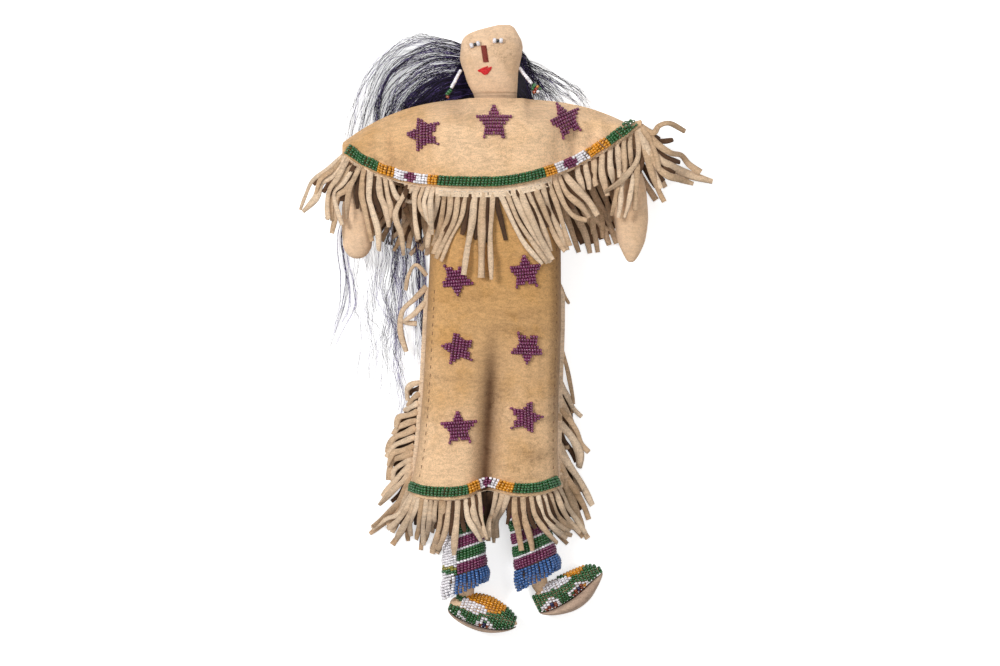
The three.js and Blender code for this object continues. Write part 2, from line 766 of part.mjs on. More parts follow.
// Arms, turning in their shoulder pockets
function armStations(a) {
  const out = point(a.side, -0.15, 0).normalize();
  const list = [
    [0, 0, SHOULDER_BALL, SHOULDER_BALL],
    [0.5, -3.5, ARM_HALF, ARM_HALF],
    [0.86, -12, ELBOW_HALF, ELBOW_HALF],
    [1, -26, a.hand * 0.86, HAND_THICK * 0.44],
    [1.03, -44, a.hand, HAND_THICK / 2],
    [1.03, a.tip - a.y + 9, a.hand * a.taper, HAND_THICK * 0.42],
    [1.03, a.tip - a.y, a.end, a.end * 0.8],
  ];
  const centres = list.map(([x, y]) => point(a.side * x * a.out, y, 0));
  const path = new THREE.CatmullRomCurve3(centres);
  const sizes = new THREE.CatmullRomCurve3(list.map(([, , wide, thick]) => point(wide, thick, 0)));
  const steps = 8;
  const stations = [];
  for (let i = 0; i <= steps; i += 1) {
    const t = i / steps;
    const at = path.getPoint(t);
    const size = sizes.getPoint(t);
    stations.push(station(at.x, at.y, ARM_MID, size.x, size.y, i === 0 ? out : path.getTangent(t)));
  }
  return [...roundedEnd(0, 0, ARM_MID, SHOULDER_BALL, SHOULDER_BALL, out), ...stations];
}

for (const a of [LEFT_ARM, RIGHT_ARM]) {
  const name = a.side > 0 ? "left" : "right";
  const group = new THREE.Group();
  group.name = `arm_${name}`;
  group.position.set(a.x, a.y, 0);
  doll.add(group);
  const arm = bag(armStations(a), 2.4);
  add(group, `arm_cover_${name}`, shape(arm.cover), hide());
  add(group, `arm_stuffing_${name}`, shape(arm.filling), filling());
}

// Legs, leggings and moccasins, each leg round about its own axis
function lathe(profile, sides = 14) {
  return new THREE.LatheGeometry(
    profile.map(([r, y]) => new THREE.Vector2(r, y)),
    sides,
  );
}

function footStations(profile, layer, bulge) {
  return profile.map(([x, top, seam, low, share]) => {
    const high = layer === "upper" ? top : seam - SEAT;
    const bottom = layer === "upper" ? seam : low;
    const out = (FOOT_HALF + bulge) * share;
    return station(x, (high + bottom) / 2, 0, (high - bottom) / 2, out, point(1, 0, 0));
  });
}

for (const leg of [LEFT_LEG, RIGHT_LEG]) {
  const name = leg.side > 0 ? "left" : "right";
  const hipY = HIP_Y - SEAT;
  const dx = leg.ankleX - leg.hipX;
  const dy = leg.ankleY - hipY;
  const ankle = Math.hypot(dx, dy);
  const turn = Math.atan2(dx, -dy);
  const group = new THREE.Group();
  group.name = `leg_${name}`;
  group.position.set(leg.hipX, hipY, LEG_Z);
  group.rotation.z = turn;
  doll.add(group);
  const end = -(ankle - ANKLE_BALL - TURN_GAP);
  const thigh = THIGH_RADIUS;
  const slope = thigh * Math.sin(Math.abs(turn));
  const cover = lathe([
    [0, end],
    [LEG_RADIUS * 0.85, end],
    [LEG_RADIUS, end + 2],
    [LEG_RADIUS, -LEGGING_TOP + 4],
    [thigh, -26],
    [thigh, -6 - slope],
    [thigh * 0.7, -slope],
    [thigh * 0.7 - SKIN, -slope],
    [thigh - SKIN, -7 - slope],
    [thigh - SKIN, -26],
    [LEG_RADIUS - SKIN, -LEGGING_TOP + 4],
    [LEG_RADIUS - SKIN, end + 3],
    [LEG_RADIUS * 0.8 - SKIN, end + SKIN],
    [0, end + SKIN],
  ]);
  add(group, `leg_cover_${name}`, cover, hide());
  const stuffed = SKIN + SEAT;
  const core = lathe([
    [0, end + stuffed],
    [LEG_RADIUS * 0.8 - stuffed, end + stuffed],
    [LEG_RADIUS - stuffed, end + 3.5],
    [LEG_RADIUS - stuffed, -LEGGING_TOP + 4],
    [thigh - stuffed, -26],
    [thigh - stuffed, -8 - slope],
    [thigh * 0.6 - SKIN, -1 - slope],
    [0, -1 - slope],
  ]);
  add(group, `leg_stuffing_${name}`, core, filling());
  const bore = LEG_RADIUS + SEAT;
  const cuffTop = -ankle + CUFF_HEIGHT + leg.show;
  const slant = new THREE.Matrix4().makeShear(Math.tan(radians(leg.slant)), 0, 0, 0, 0, 0);
  const legging = lathe([
    [bore, cuffTop + SEAT],
    [LEGGING_RADIUS, cuffTop + SEAT],
    [LEGGING_RADIUS, -LEGGING_TOP],
    [bore, -LEGGING_TOP],
    [bore, cuffTop + SEAT],
  ]).applyMatrix4(slant);
  add(group, `legging_${name}`, legging, plum());
  const cuff = lathe([
    [bore, cuffTop - CUFF_HEIGHT],
    [CUFF_RADIUS - 0.6, cuffTop - CUFF_HEIGHT],
    [CUFF_RADIUS, cuffTop - CUFF_HEIGHT + 2],
    [LEGGING_RADIUS + 0.2, cuffTop],
    [bore, cuffTop],
    [bore, cuffTop - CUFF_HEIGHT],
  ]).applyMatrix4(slant);
  add(group, `legging_cuff_${name}`, cuff, colour("#3c78b4", 0.35));

  // Foot, flexing at the ankle
  const foot = new THREE.Group();
  foot.name = `foot_${name}`;
  foot.position.set(0, -ankle, FOOT_HALF + SOLE_BULGE - LEG_Z);
  foot.rotation.z = radians(leg.footTurn) - turn;
  group.add(foot);
  const outer = footStations(leg.foot, "upper", 0);
  const lift = LEG_Z - FOOT_HALF - SOLE_BULGE;
  const drop = new THREE.CylinderGeometry(ANKLE_BALL, ANKLE_BALL, 7, 12).translate(0, -3.5, lift);
  const opening = ANKLE_BALL + SEAT;
  const hole = new THREE.CylinderGeometry(opening, opening, 9, 12).translate(0, -3.5, lift);
  const inside = form(inset(outer, MOCCASIN_WALL), 10, 0.8);
  const upper = form(outer, 10, 0.8).subtract(inside).subtract(solid(hole));
  add(foot, `moccasin_upper_${name}`, shape(upper), colour("#c9922e", 0.4));
  const packed = form(inset(outer.slice(0, -1), MOCCASIN_WALL + SEAT), 10, 0.8);
  const joint = ball(0, 0, lift, ANKLE_BALL, ANKLE_BALL, 12).add(solid(drop));
  add(foot, `foot_stuffing_${name}`, shape(packed.add(joint)), filling());
  const sole = form(footStations(leg.foot, "sole", SOLE_BULGE), 10, 0.7);
  add(foot, `moccasin_sole_${name}`, shape(sole), colour("#d0b296", 0.9));
}

// Dress panels
add(doll, "skirt_back", sheet(skirtBackFace, HIDE, 14, 7), hide());
add(doll, "skirt_front", sheet(skirtFrontFace, HIDE, 26, 7), hide());
add(doll, "yoke_back", sheet(yokeBackFace, HIDE, 26, 5), hide());
add(doll, "yoke_front", sheet(yokeFrontFace, HIDE, 26, 6), hide());

// Bead bands along the yoke edge and the hem
function yokeBandFace(u, v) {
  const x = mix(-RIGHT_SPAN + 4, LEFT_SPAN - 4, u);
  const tall = shoulderY(x) - yokeEdgeY(x);
  return yokeFrontAt(x, 1 - (BAND_EDGE + v * BAND_WIDTH) / tall);
}

add(doll, "yoke_bead_band", sheet(moved(yokeBandFace, BAND_SEAT + BEAD), BEAD, 36, 1), green());

function hemBandFace(u, v) {
  const y = SKIRT_HEM_Y + BAND_EDGE + v * BAND_WIDTH;
  const x = skirtMiddle(y) + skirtHalf(y) * mix(-0.87, 0.87, u);
  return point(x, y, skirtFrontZ(x, y));
}

add(doll, "hem_bead_band", sheet(moved(hemBandFace, BAND_SEAT + BEAD), BEAD, 28, 1), green());

// Beaded stars
function star(x, y, turn, heightAt) {
  const rings = [];
  for (const share of [0.5, 1]) {
    for (let i = 0; i < 10; i += 1) {
      const r = (i % 2 === 0 ? STAR_RADIUS : STAR_WAIST) * share;
      const a = radians(turn + i * 36);
      rings.push([x + r * Math.cos(a), y + r * Math.sin(a)]);
    }
  }
  const flat = [[x, y], ...rings];
  const low = flat.map(([a, b]) => point(a, b, heightAt(a, b) + STAR_SEAT));
  const high = low.map((p) => p.clone().setZ(p.z + BEAD));
  const faces = [];
  for (let i = 0; i < 10; i += 1) {
    const a = 1 + i;
    const b = 1 + ((i + 1) % 10);
    const top = low.length;
    const tris = [
      [0, a, b],
      [a, a + 10, b + 10],
      [a, b + 10, b],
    ];
    for (const [p, q, r] of tris) {
      faces.push(top + p, top + q, top + r, p, r, q);
    }
    const c = a + 10;
    const d = b + 10;
    faces.push(c, d, top + d, c, top + d, top + c);
  }
  return fromLists([...low, ...high], faces);
}

function yokeFrontZ(x, y) {
  const v = (shoulderY(x) - y) / (shoulderY(x) - yokeEdgeY(x));
  return yokeFrontAt(x, v).z;
}

const stars = [
  ["star_yoke_right", -35.8, 107, 180, yokeFrontZ],
  ["star_yoke_middle", 2.2, 113, 90, yokeFrontZ],
  ["star_yoke_left", 41.8, 112, -90, yokeFrontZ],
  ["star_skirt_top_right", -18.2, 28, -85, skirtFrontZ],
  ["star_skirt_top_left", 19.3, 31.5, 95, skirtFrontZ],
  ["star_skirt_middle_right", -17, -9.9, 172, skirtFrontZ],
  ["star_skirt_middle_left", 20.5, -9.4, -92, skirtFrontZ],
  ["star_skirt_low_right", -17, -53.9, 94, skirtFrontZ],
  ["star_skirt_low_left", 19.5, -47.9, 2, skirtFrontZ],
];
for (const [name, x, y, turn, heightAt] of stars) {
  add(doll, name, star(x, y, turn, heightAt), plum());
}

// Fringes sewn under the yoke edges
function yokeFringe(settings, at, from, to, fan, depth, heightAt, seed) {
  const face = (u, v) => {
    const x = mix(from, to, u);
    const tall = shoulderY(x) - yokeEdgeY(x);
    return at(x, 1 + mix(HEADER_SHOW, -HEADER_TUCK, v) / tall);
  };
  return fringe(moved(face, depth), settings.strips, (root, i, t) => {
    const angle = mix(fan[0], fan[1], t) + 4 * stray(i, seed);
    const cone = i === settings.coneStrip ? 1.75 * CONE_LENGTH : 0;
    const length = settings.length * (1 + 0.12 * stray(i, seed + 1)) - cone;
    return strand(root, angle, length, 6 * stray(i, seed + 2), heightAt, at === yokeBackAt ? 2 : 3);
  });
}

const under = -(HIDE + HEADER_SEAT);
const over = HIDE + SEAT + STRIP;

// How a strip lies: over the skirt, level, or falling to a floor
function overSkirt(x, y) {
  const reach = skirtHalf(y) * 0.78;
  const inside = THREE.MathUtils.clamp(x, skirtMiddle(y) - reach, skirtMiddle(y) + reach);
  return skirtFrontZ(inside, y) + 3 * SEAT + BEAD + STRIP;
}

function level(x, y, t, root) {
  return root.z;
}

function fallingTo(floor) {
  return (x, y, t, root) => mix(root.z, floor + SEAT + STRIP / 2, smooth(1.5 * t));
}

const rightFloor = HAIR_DEPTH + SEAT;
const centreFrom = -29;
const centreTo = 31;
const sleeveGap = STRIP_WIDTH / 2;
const sleeveBack = SKIRT_TOP_HALF + 5;
const rightEnd = -RIGHT_SPAN + 2;
const leftEnd = LEFT_SPAN - 2;
const onRight = fallingTo(rightFloor);
const onFloor = fallingTo(0);
const front = yokeFrontAt;
const back = yokeBackAt;
const coneFringe = { ...SLEEVE_BACK_FRINGE, coneStrip: CONE_STRIP };
const yokeFringes = [
  ["yoke_fringe_front", YOKE_FRINGE, front, centreFrom, centreTo, [-14, 14], under, overSkirt],
  ["sleeve_fringe_right", SLEEVE_FRINGE, front, rightEnd, centreFrom - sleeveGap, [-40, -18], under, level],
  ["sleeve_fringe_left", SLEEVE_FRINGE, front, centreTo + sleeveGap, leftEnd, [18, 48], under, level],
  ["yoke_fringe_back", BACK_FRINGE, back, centreFrom, centreTo, [-8, 8], over, onFloor],
  ["sleeve_back_fringe_right", coneFringe, back, rightEnd, -sleeveBack, [-24, -5], over, onRight],
  ["sleeve_back_fringe_left", SLEEVE_BACK_FRINGE, back, sleeveBack, leftEnd, [5, 30], over, onFloor],
];
const coneStrip = {};
yokeFringes.forEach(([name, settings, at, from, to, fan, depth, heightAt], seed) => {
  const made = yokeFringe(settings, at, from, to, fan, depth, heightAt, seed);
  add(doll, name, made.geometry, darkHide());
  if (name === "sleeve_back_fringe_right") {
    Object.assign(coneStrip, made.strips[CONE_STRIP]);
  }
});

// Tin cone hanging at the end of one strip
const cone = lathe(
  [
    [CONE_MOUTH, -CONE_LENGTH],
    [CONE_NECK, 0],
    [CONE_NECK - CONE_WALL, 0],
    [CONE_MOUTH - CONE_WALL, -CONE_LENGTH],
    [CONE_MOUTH, -CONE_LENGTH],
  ],
  12,
);
const coneMesh = add(doll, "tin_cone", cone, colour("#b9bcc0", 0.3, 1));
coneMesh.rotation.z = coneStrip.turn;
const coneDown = point(Math.sin(coneStrip.turn), -Math.cos(coneStrip.turn), 0);
coneMesh.position.copy(coneStrip.end).addScaledVector(coneDown, SEAT).setZ(CONE_Z);

// Fringes of the hem
function leggingZ(x, y) {
  const heights = [LEFT_LEG, RIGHT_LEG].map((leg) => {
    const off = Math.max(Math.abs(x - legX(leg, y)) - STRIP_WIDTH, 0);
    const r = LEGGING_RADIUS + SEAT;
    return off < r ? LEG_Z + Math.sqrt(r * r - off * off) : 0;
  });
  return Math.max(...heights);
}

function hemFringe(isFront, seed) {
  const show = isFront ? HEADER_SHOW : HEADER_SHOW + HEADER_TUCK;
  const tuck = isFront ? HEADER_TUCK : -SEAT;
  const face = (u, v) => {
    const y = SKIRT_HEM_Y + mix(-show, tuck, v);
    const x = skirtMiddle(y) + skirtHalf(y) * mix(-0.88, 0.88, u);
    return point(x, y, isFront ? skirtFrontZ(x, y) : skirtBackZ(x, y) + STRIP);
  };
  return fringe(isFront ? moved(face, under) : face, HEM_FRINGE.strips, (root, i, t) => {
    const angle = mix(-20, 20, t) + 3 * stray(i, seed);
    const length = HEM_FRINGE.length * (1 + 0.1 * stray(i, seed + 1)) - show + HEADER_SHOW;
    return strand(root, angle, length, 3 * stray(i, seed + 2), (x, y, s) => {
      const low = mix(root.z, SEAT + STRIP / 2, smooth(isFront ? 0.8 * s : 2 * s));
      return isFront ? Math.max(low, leggingZ(x, y) + SEAT + STRIP / 2) : low;
    }, isFront ? 3 : 2);
  });
}

add(doll, "hem_fringe_front", hemFringe(true, 11).geometry, darkHide());
add(doll, "hem_fringe_back", hemFringe(false, 12).geometry, darkHide());

// Fringes of the side seams
for (const side of [1, -1]) {
  const name = side > 0 ? "left" : "right";
  const face = (u, v) => {
    const y = mix(SKIRT_HEM_Y + 6, SIDE_FRINGE_TOP, side > 0 ? u : 1 - u);
    const out = mix(HEADER_SHOW, -HEADER_TUCK, v);
    return point(skirtMiddle(y) + side * (skirtHalf(y) + out), y, SEAM_Z + STRIP / 2);
  };
  const made = fringe(face, SIDE_FRINGE.strips, (root, i) => {
    const angle = side * (36 + 8 * stray(i, 14 + side));
    const length = SIDE_FRINGE.length * (1 + 0.15 * stray(i, 17 + side));
    return strand(root, angle, length, side * 4 * stray(i, 20), side > 0 ? onFloor : onRight);
  });
  add(doll, `side_fringe_${name}`, made.geometry, darkHide());
}

export default doll;
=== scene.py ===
import random
from math import atan, copysign, cos, exp, pi, radians, sin, sqrt, tan

import bpy
import numpy as np
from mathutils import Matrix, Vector, noise


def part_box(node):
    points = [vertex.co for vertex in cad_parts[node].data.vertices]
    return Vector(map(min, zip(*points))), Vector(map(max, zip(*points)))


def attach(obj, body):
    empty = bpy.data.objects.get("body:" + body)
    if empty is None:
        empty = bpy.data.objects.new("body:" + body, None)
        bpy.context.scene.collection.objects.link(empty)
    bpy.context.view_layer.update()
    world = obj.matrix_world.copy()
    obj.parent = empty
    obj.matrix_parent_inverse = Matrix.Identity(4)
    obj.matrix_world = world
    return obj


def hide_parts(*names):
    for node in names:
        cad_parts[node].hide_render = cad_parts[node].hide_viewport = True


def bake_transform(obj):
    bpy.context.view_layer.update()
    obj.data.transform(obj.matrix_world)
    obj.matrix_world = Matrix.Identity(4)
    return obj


# Beaded hide doll lying on its back.
# Lengths are in millimetres until a mesh is made. +X is the doll's left, +Y its head, +Z its front.
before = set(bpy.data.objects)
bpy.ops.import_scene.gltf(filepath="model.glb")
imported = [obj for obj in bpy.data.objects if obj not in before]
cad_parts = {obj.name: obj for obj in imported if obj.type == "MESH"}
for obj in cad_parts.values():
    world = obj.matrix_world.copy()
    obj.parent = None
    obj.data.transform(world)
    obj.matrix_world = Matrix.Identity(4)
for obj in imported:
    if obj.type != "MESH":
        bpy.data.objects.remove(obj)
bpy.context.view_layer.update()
MM = 0.001
scene = bpy.context.scene

# Hide and beads
HIDE = 1.2
STRIP = 0.9
SEAT = 0.35
BEAD_PITCH = 2.0
BEAD_LENGTH = 1.4
BEAD_LIFT = 0.85
BORE_SHARE = 0.35
NAP_DEPTH = 0.0005

# Layers, from the floor up
SKIRT_BACK_LIFT = 2.8
SLEEVE_BACK_Z = 3.1
ARM_MID = 15.05
LEG_Z = 13.85
LEG_TOP = 26.05
LEGGING_RADIUS = 12.9
LEGGING_FLAT = 2.6
NECK_Z = 14.0
HEAD_Z = 15.3
TORSO_MID = 19.85
TORSO_TOP = 35.35
CHEST_Z = 40.45
SLEEVE_Z = 26.2
FOOT_Z = 11.0
FOOT_FULLNESS = 0.8
SEAM_Z = 10.0

# Dress
LEFT_SPAN = 83
RIGHT_SPAN = 81
SKIRT_TOP_Y = 90
SKIRT_HEM_Y = -90
BAND_EDGE = 0.8
BAND_WIDTH = 5.6
BAND_PITCH = 1.94
BAND_ROWS = 4
STAR_PITCH = 1.8


def mix(a, b, t):
    return a + (b - a) * t


def clamp(t, low=0.0, high=1.0):
    return max(low, min(high, t))


def smooth(t):
    s = clamp(t)
    return s * s * (3 - 2 * s)


def wave(x, y, size, seed):
    return noise.noise(Vector((x / size, y / size, seed)))


def spot(x, y, cx, cy, rx, ry, turn=0.0):
    c, s = cos(radians(turn)), sin(radians(turn))
    a = ((x - cx) * c + (y - cy) * s) / rx
    b = (-(x - cx) * s + (y - cy) * c) / ry
    return exp(-(a * a + b * b))


def spots(x, y, table):
    """The sum of soft spots, each a strength, a middle, two reaches and a turn."""
    return sum(strength * spot(x, y, *rest) for strength, *rest in table)


def bell(off, reach):
    return exp(-((off / reach) ** 2))


def tone(r, g, b):
    """A colour as seen on a screen, 0 to 255, as linear light."""
    shares = (r / 255, g / 255, b / 255)
    return tuple((c / 12.92 if c <= 0.04045 else ((c + 0.055) / 1.055) ** 2.4) for c in shares)


def catmull(points, t):
    """A point on a smooth line through the points, t from 0 to 1."""
    last = len(points) - 1
    f = clamp(t) * last
    i = min(int(f), last - 1)
    f -= i
    p = [np.array(points[clamp(k, 0, last)], float) for k in (i - 1, i, i + 1, i + 2)]
    a = 2 * p[1]
    b = p[2] - p[0]
    c = 2 * p[0] - 5 * p[1] + 4 * p[2] - p[3]
    d = 3 * (p[1] - p[2]) + p[3] - p[0]
    return 0.5 * (a + b * f + c * f * f + d * f * f * f)


def share_where(points, value, rounds):
    """How far along a smooth line its first measure comes up to a value, found by halving."""
    low, high = 0.0, 1.0
    for _ in range(rounds):
        t = (low + high) / 2
        low, high = (t, high) if catmull(points, t)[0] < value else (low, t)
    return low


def up(z):
    return Vector((0, 0, z))


def placed(name, data):
    """A new object in the scene."""
    obj = bpy.data.objects.new(name, data)
    scene.collection.objects.link(obj)
    return obj


# Node helpers
SOCKET_KINDS = {float: "Float", int: "Int", tuple: "Color"}


def fill(tree, made, inputs):
    """Give a node's inputs, by name or number, a value or another node's output."""
    for key, value in inputs.items():
        same = [s for s in made.inputs if s.name == key and s.enabled]
        into = same[0] if same else made.inputs[key]
        if isinstance(value, bpy.types.NodeSocket):
            tree.links.new(value, into)
        else:
            into.default_value = (*value, 1) if into.type == "RGBA" else value


def node(tree, kind, inputs=None, **settings):
    made = tree.nodes.new(kind)
    for key, value in settings.items():
        setattr(made, key, value)
    fill(tree, made, inputs or {})
    return made


def new_group(name, kind, inputs, outputs):
    """A node group; a socket's default tells its kind, or else its kind is named."""
    tree = bpy.data.node_groups.new(name, kind)
    for way, sockets in (("INPUT", inputs), ("OUTPUT", outputs)):
        for label, value in sockets.items():
            sort = SOCKET_KINDS.get(type(value), value)
            made = tree.interface.new_socket(label, in_out=way, socket_type=f"NodeSocket{sort}")
            if sort is not value:
                made.default_value = (*value, 1) if sort == "Color" else value
    return tree, tree.nodes.new("NodeGroupInput").outputs, tree.nodes.new("NodeGroupOutput")


def sums(tree, operation, a, b=0.0, clamped=False):
    return node(tree, "ShaderNodeMath", {0: a, 1: b}, operation=operation, use_clamp=clamped).outputs[0]


def plus(tree, a, b, clamped=False):
    return sums(tree, "ADD", a, b, clamped)


def times(tree, a, b):
    return sums(tree, "MULTIPLY", a, b)


def spread(tree, value, low, high, to_low=0.0, to_high=1.0, ease="SMOOTHSTEP"):
    ends = {"Value": value, "From Min": low, "From Max": high, "To Min": to_low, "To Max": to_high}
    return node(tree, "ShaderNodeMapRange", ends, interpolation_type=ease).outputs["Result"]


def scaled(tree, colour, level):
    return node(tree, "ShaderNodeVectorMath", {0: colour, "Scale": level}, operation="SCALE").outputs[0]


def blend_colour(tree, factor, a, b):
    made = node(tree, "ShaderNodeMix", {"Factor": factor, "A": a, "B": b}, data_type="RGBA")
    return [s for s in made.outputs if s.enabled][0]


def object_place(tree):
    return node(tree, "ShaderNodeTexCoord").outputs["Object"]


def mark(tree, name, out="Fac"):
    return node(tree, "ShaderNodeAttribute", attribute_name=name).outputs[out]


def noise_of(tree, coords, scale, detail=3.0, rough=0.55, stretch=None):
    if stretch:
        coords = node(tree, "ShaderNodeMapping", {"Vector": coords, "Scale": stretch}).outputs["Vector"]
    sizes = {"Vector": coords, "Scale": scale, "Detail": detail, "Roughness": rough}
    return node(tree, "ShaderNodeTexNoise", sizes).outputs["Fac"]


def new_material(name):
    """A material, its node tree and its Principled shader."""
    material = bpy.data.materials.new(name)
    material.use_nodes = True
    return material, material.node_tree, material.node_tree.nodes["Principled BSDF"]


# Camera, light and floor, in metres; the photograph shows 0.55 m at the middle of the doll's depth
SENSOR = 36
SHOWN_WIDTH = 0.55
VIEW_DISTANCE = 2.5
FLOOR_HALF = 6
FLOOR_Z = -0.0004
camera_data = bpy.data.cameras.new("camera")
camera_data.sensor_width = SENSOR
camera_data.lens = SENSOR * VIEW_DISTANCE / SHOWN_WIDTH
camera_data.clip_end = 20
scene.camera = placed("camera", camera_data)
scene.camera.location = (0.0055, -0.00165, 0.02 + VIEW_DISTANCE)
scene.view_settings.view_transform = "Standard"


def soft_light(name, place, size, power):
    data = bpy.data.lights.new(name, "AREA")
    data.shape = "SQUARE"
    data.size = size
    data.energy = power
    lamp = placed(name, data)
    lamp.location = place
    lamp.rotation_euler = (-Vector(place)).to_track_quat("-Z", "Y").to_euler()
    lamp.visible_camera = False


soft_light("window light", (-1.05, 0.6, 1.45), 0.5, 20.0)
soft_light("front light", (0.5, 0.0, 1.9), 0.7, 8.0)
soft_light("head light", (0.1, 1.3, 0.9), 0.8, 2.0)


def seen_directly(tree):
    """One where a ray from the eye, a reflection or glass meets the backdrop, and zero for light on the object."""
    path = node(tree, "ShaderNodeLightPath").outputs
    total = plus(tree, path["Is Camera Ray"], path["Is Glossy Ray"])
    return plus(tree, total, path["Is Transmission Ray"], True)


def studio_world():
    world = bpy.data.worlds.new("studio")
    world.use_nodes = True
    tree = world.node_tree
    level = spread(tree, seen_directly(tree), 0.0, 1.0, 0.3, 1.0, "LINEAR")
    fill(tree, tree.nodes["Background"], {"Color": (1, 1, 1), "Strength": level})
    return world


def floor_finish():
    material, tree, shader = new_material("pale floor")
    far = node(tree, "ShaderNodeVectorMath", {0: object_place(tree)}, operation="LENGTH").outputs["Value"]
    reach = spread(tree, far, 0.3, 0.9, 0.6, 1.0, "LINEAR")
    fill(tree, shader, {
        "Base Color": (0.9, 0.9, 0.9), "Roughness": 0.95, "Specular IOR Level": 0.0, "Emission Color": (1, 1, 1),
        "Emission Strength": times(tree, seen_directly(tree), reach),
    })
    return material


scene.world = studio_world()
floor_mesh = bpy.data.meshes.new("floor")
floor_corners = [(x * FLOOR_HALF, y * FLOOR_HALF, FLOOR_Z) for x, y in ((-1, -1), (1, -1), (1, 1), (-1, 1))]
floor_mesh.from_pydata(floor_corners, [], [(0, 1, 2, 3)])
floor_mesh.materials.append(floor_finish())
placed("floor", floor_mesh)


# Shared surface effects
def suede_group():
    """Smoked hide: two tones in soft patches, a fine nap, old handling marks, and a darker tone where it is marked, for
    stains and for painted shade.
    """
    group, given, made = new_group("suede", "ShaderNodeTree", {
        "Pale": tone(236, 198, 160), "Ochre": tone(205, 160, 104), "Dirt And Shade": tone(104, 72, 48), "Patch Scale": 42.0,
        "Nap Scale": 1500.0, "Ochre Share": 0.3, "Grain Depth": 1.0,
    }, {"Color": "Color", "Height": "Float", "Roughness": "Float"})
    coords = object_place(group)
    patches = noise_of(group, coords, given["Patch Scale"], 5.0, 0.6)
    share = times(group, spread(group, patches, 0.42, 0.68), given["Ochre Share"])
    share = plus(group, share, mark(group, "ochre"), True)
    colour = blend_colour(group, share, given["Pale"], given["Ochre"])
    smudge = spread(group, noise_of(group, coords, 70.0, 6.0, 0.68), 0.52, 0.8, 0.0, 0.24)
    veins = noise_of(group, coords, 120.0, 5.0, 0.6)
    vein = sums(group, "ABSOLUTE", sums(group, "SUBTRACT", veins, 0.5))
    worn_places = spread(group, noise_of(group, coords, 30.0, 2.0), 0.46, 0.62)
    vein = times(group, spread(group, vein, 0.0, 0.018, 1.0, 0.0), worn_places)
    nap = noise_of(group, coords, given["Nap Scale"], 3.0, 0.75)
    brushed = noise_of(group, coords, 620.0, 4.0, 0.7, (0.4, 1.0, 1.0))
    grain = plus(group, times(group, nap, 0.55), times(group, brushed, 0.45))
    worn = times(group, spread(group, grain, 0.36, 0.64, -0.24, 0.19), given["Grain Depth"])
    smudge = plus(group, smudge, times(group, vein, 0.22))
    # The crease mark carries stains and painted shade: hollows, edges, neck creases and gaps between beads.
    dirt_and_shade = plus(group, smudge, times(group, mark(group, "crease"), 0.9), True)
    colour = blend_colour(group, dirt_and_shade, colour, given["Dirt And Shade"])
    height = plus(group, grain, times(group, patches, 0.6))
    fill(group, made, {
        "Color": scaled(group, colour, plus(group, worn, 1.0)),
        "Height": sums(group, "SUBTRACT", height, times(group, vein, 0.5)),
        "Roughness": spread(group, grain, 0.3, 0.7, 0.97, 0.84),
    })
    return group


def fibre_group():
    """Fine streaks for thread and hair."""
    inputs = {"Tint": (0.5, 0.5, 0.5), "Streak Scale": 900.0, "Contrast": 0.5}
    group, given, made = new_group("fibre", "ShaderNodeTree", inputs, {"Color": "Color"})
    streak = noise_of(group, object_place(group), given["Streak Scale"], 2.0, 0.6)
    level = times(group, spread(group, streak, 0.3, 0.7, -0.5, 0.5), given["Contrast"])
    fill(group, made, {"Color": scaled(group, given["Tint"], plus(group, level, 1.0))})
    return group


SUEDE = suede_group()
FIBRE = fibre_group()


def hide_finish(name, pale, ochre, dirt_and_shade, share, patch=42.0, grain=1.0):
    material, tree, shader = new_material(name)
    given = node(tree, "ShaderNodeGroup", {
        "Pale": pale, "Ochre": ochre, "Dirt And Shade": dirt_and_shade, "Ochre Share": share, "Patch Scale": patch, "Grain Depth": grain,
    }, node_tree=SUEDE).outputs
    bump = node(tree, "ShaderNodeBump", {"Strength": 0.55, "Distance": NAP_DEPTH, "Height": given["Height"]})
    fill(tree, shader, {
        "Base Color": given["Color"], "Roughness": given["Roughness"], "Normal": bump.outputs["Normal"],
        "Specular IOR Level": 0.18, "Sheen Weight": 0.12, "Sheen Roughness": 0.5,
    })
    return material


def fibre_finish(name, tint, roughness, scale, contrast, specular=0.3):
    material, tree, shader = new_material(name)
    streaks = {"Tint": tint, "Streak Scale": scale, "Contrast": contrast}
    colour = node(tree, "ShaderNodeGroup", streaks, node_tree=FIBRE).outputs["Color"]
    fill(tree, shader, {"Base Color": colour, "Roughness": roughness, "Specular IOR Level": specular})
    return material


def bead_finish():
    material, tree, shader = new_material("glass seed beads")
    coords = object_place(tree)
    cloud = spread(tree, noise_of(tree, coords, 650.0, 2.0), 0.35, 0.65, 0.82, 1.12)
    fill(tree, shader, {
        "Base Color": scaled(tree, mark(tree, "bead_colour", "Color"), cloud),
        "Roughness": spread(tree, noise_of(tree, coords, 300.0, 3.0), 0.4, 0.7, 0.16, 0.3),
        "Specular IOR Level": 0.6,
    })
    return material


def tin_finish():
    material, tree, shader = new_material("rolled tin")
    # Dark and pale streaks along the cone: painted reflections of the surroundings.
    streak = noise_of(tree, object_place(tree), 380.0, 3.0, 0.6, (3.0, 0.4, 3.0))
    fill(tree, shader, {
        "Base Color": blend_colour(tree, spread(tree, streak, 0.44, 0.6), tone(196, 198, 208), tone(52, 48, 50)),
        "Roughness": spread(tree, streak, 0.3, 0.7, 0.22, 0.42),
        "Metallic": 1.0,
    })
    return material


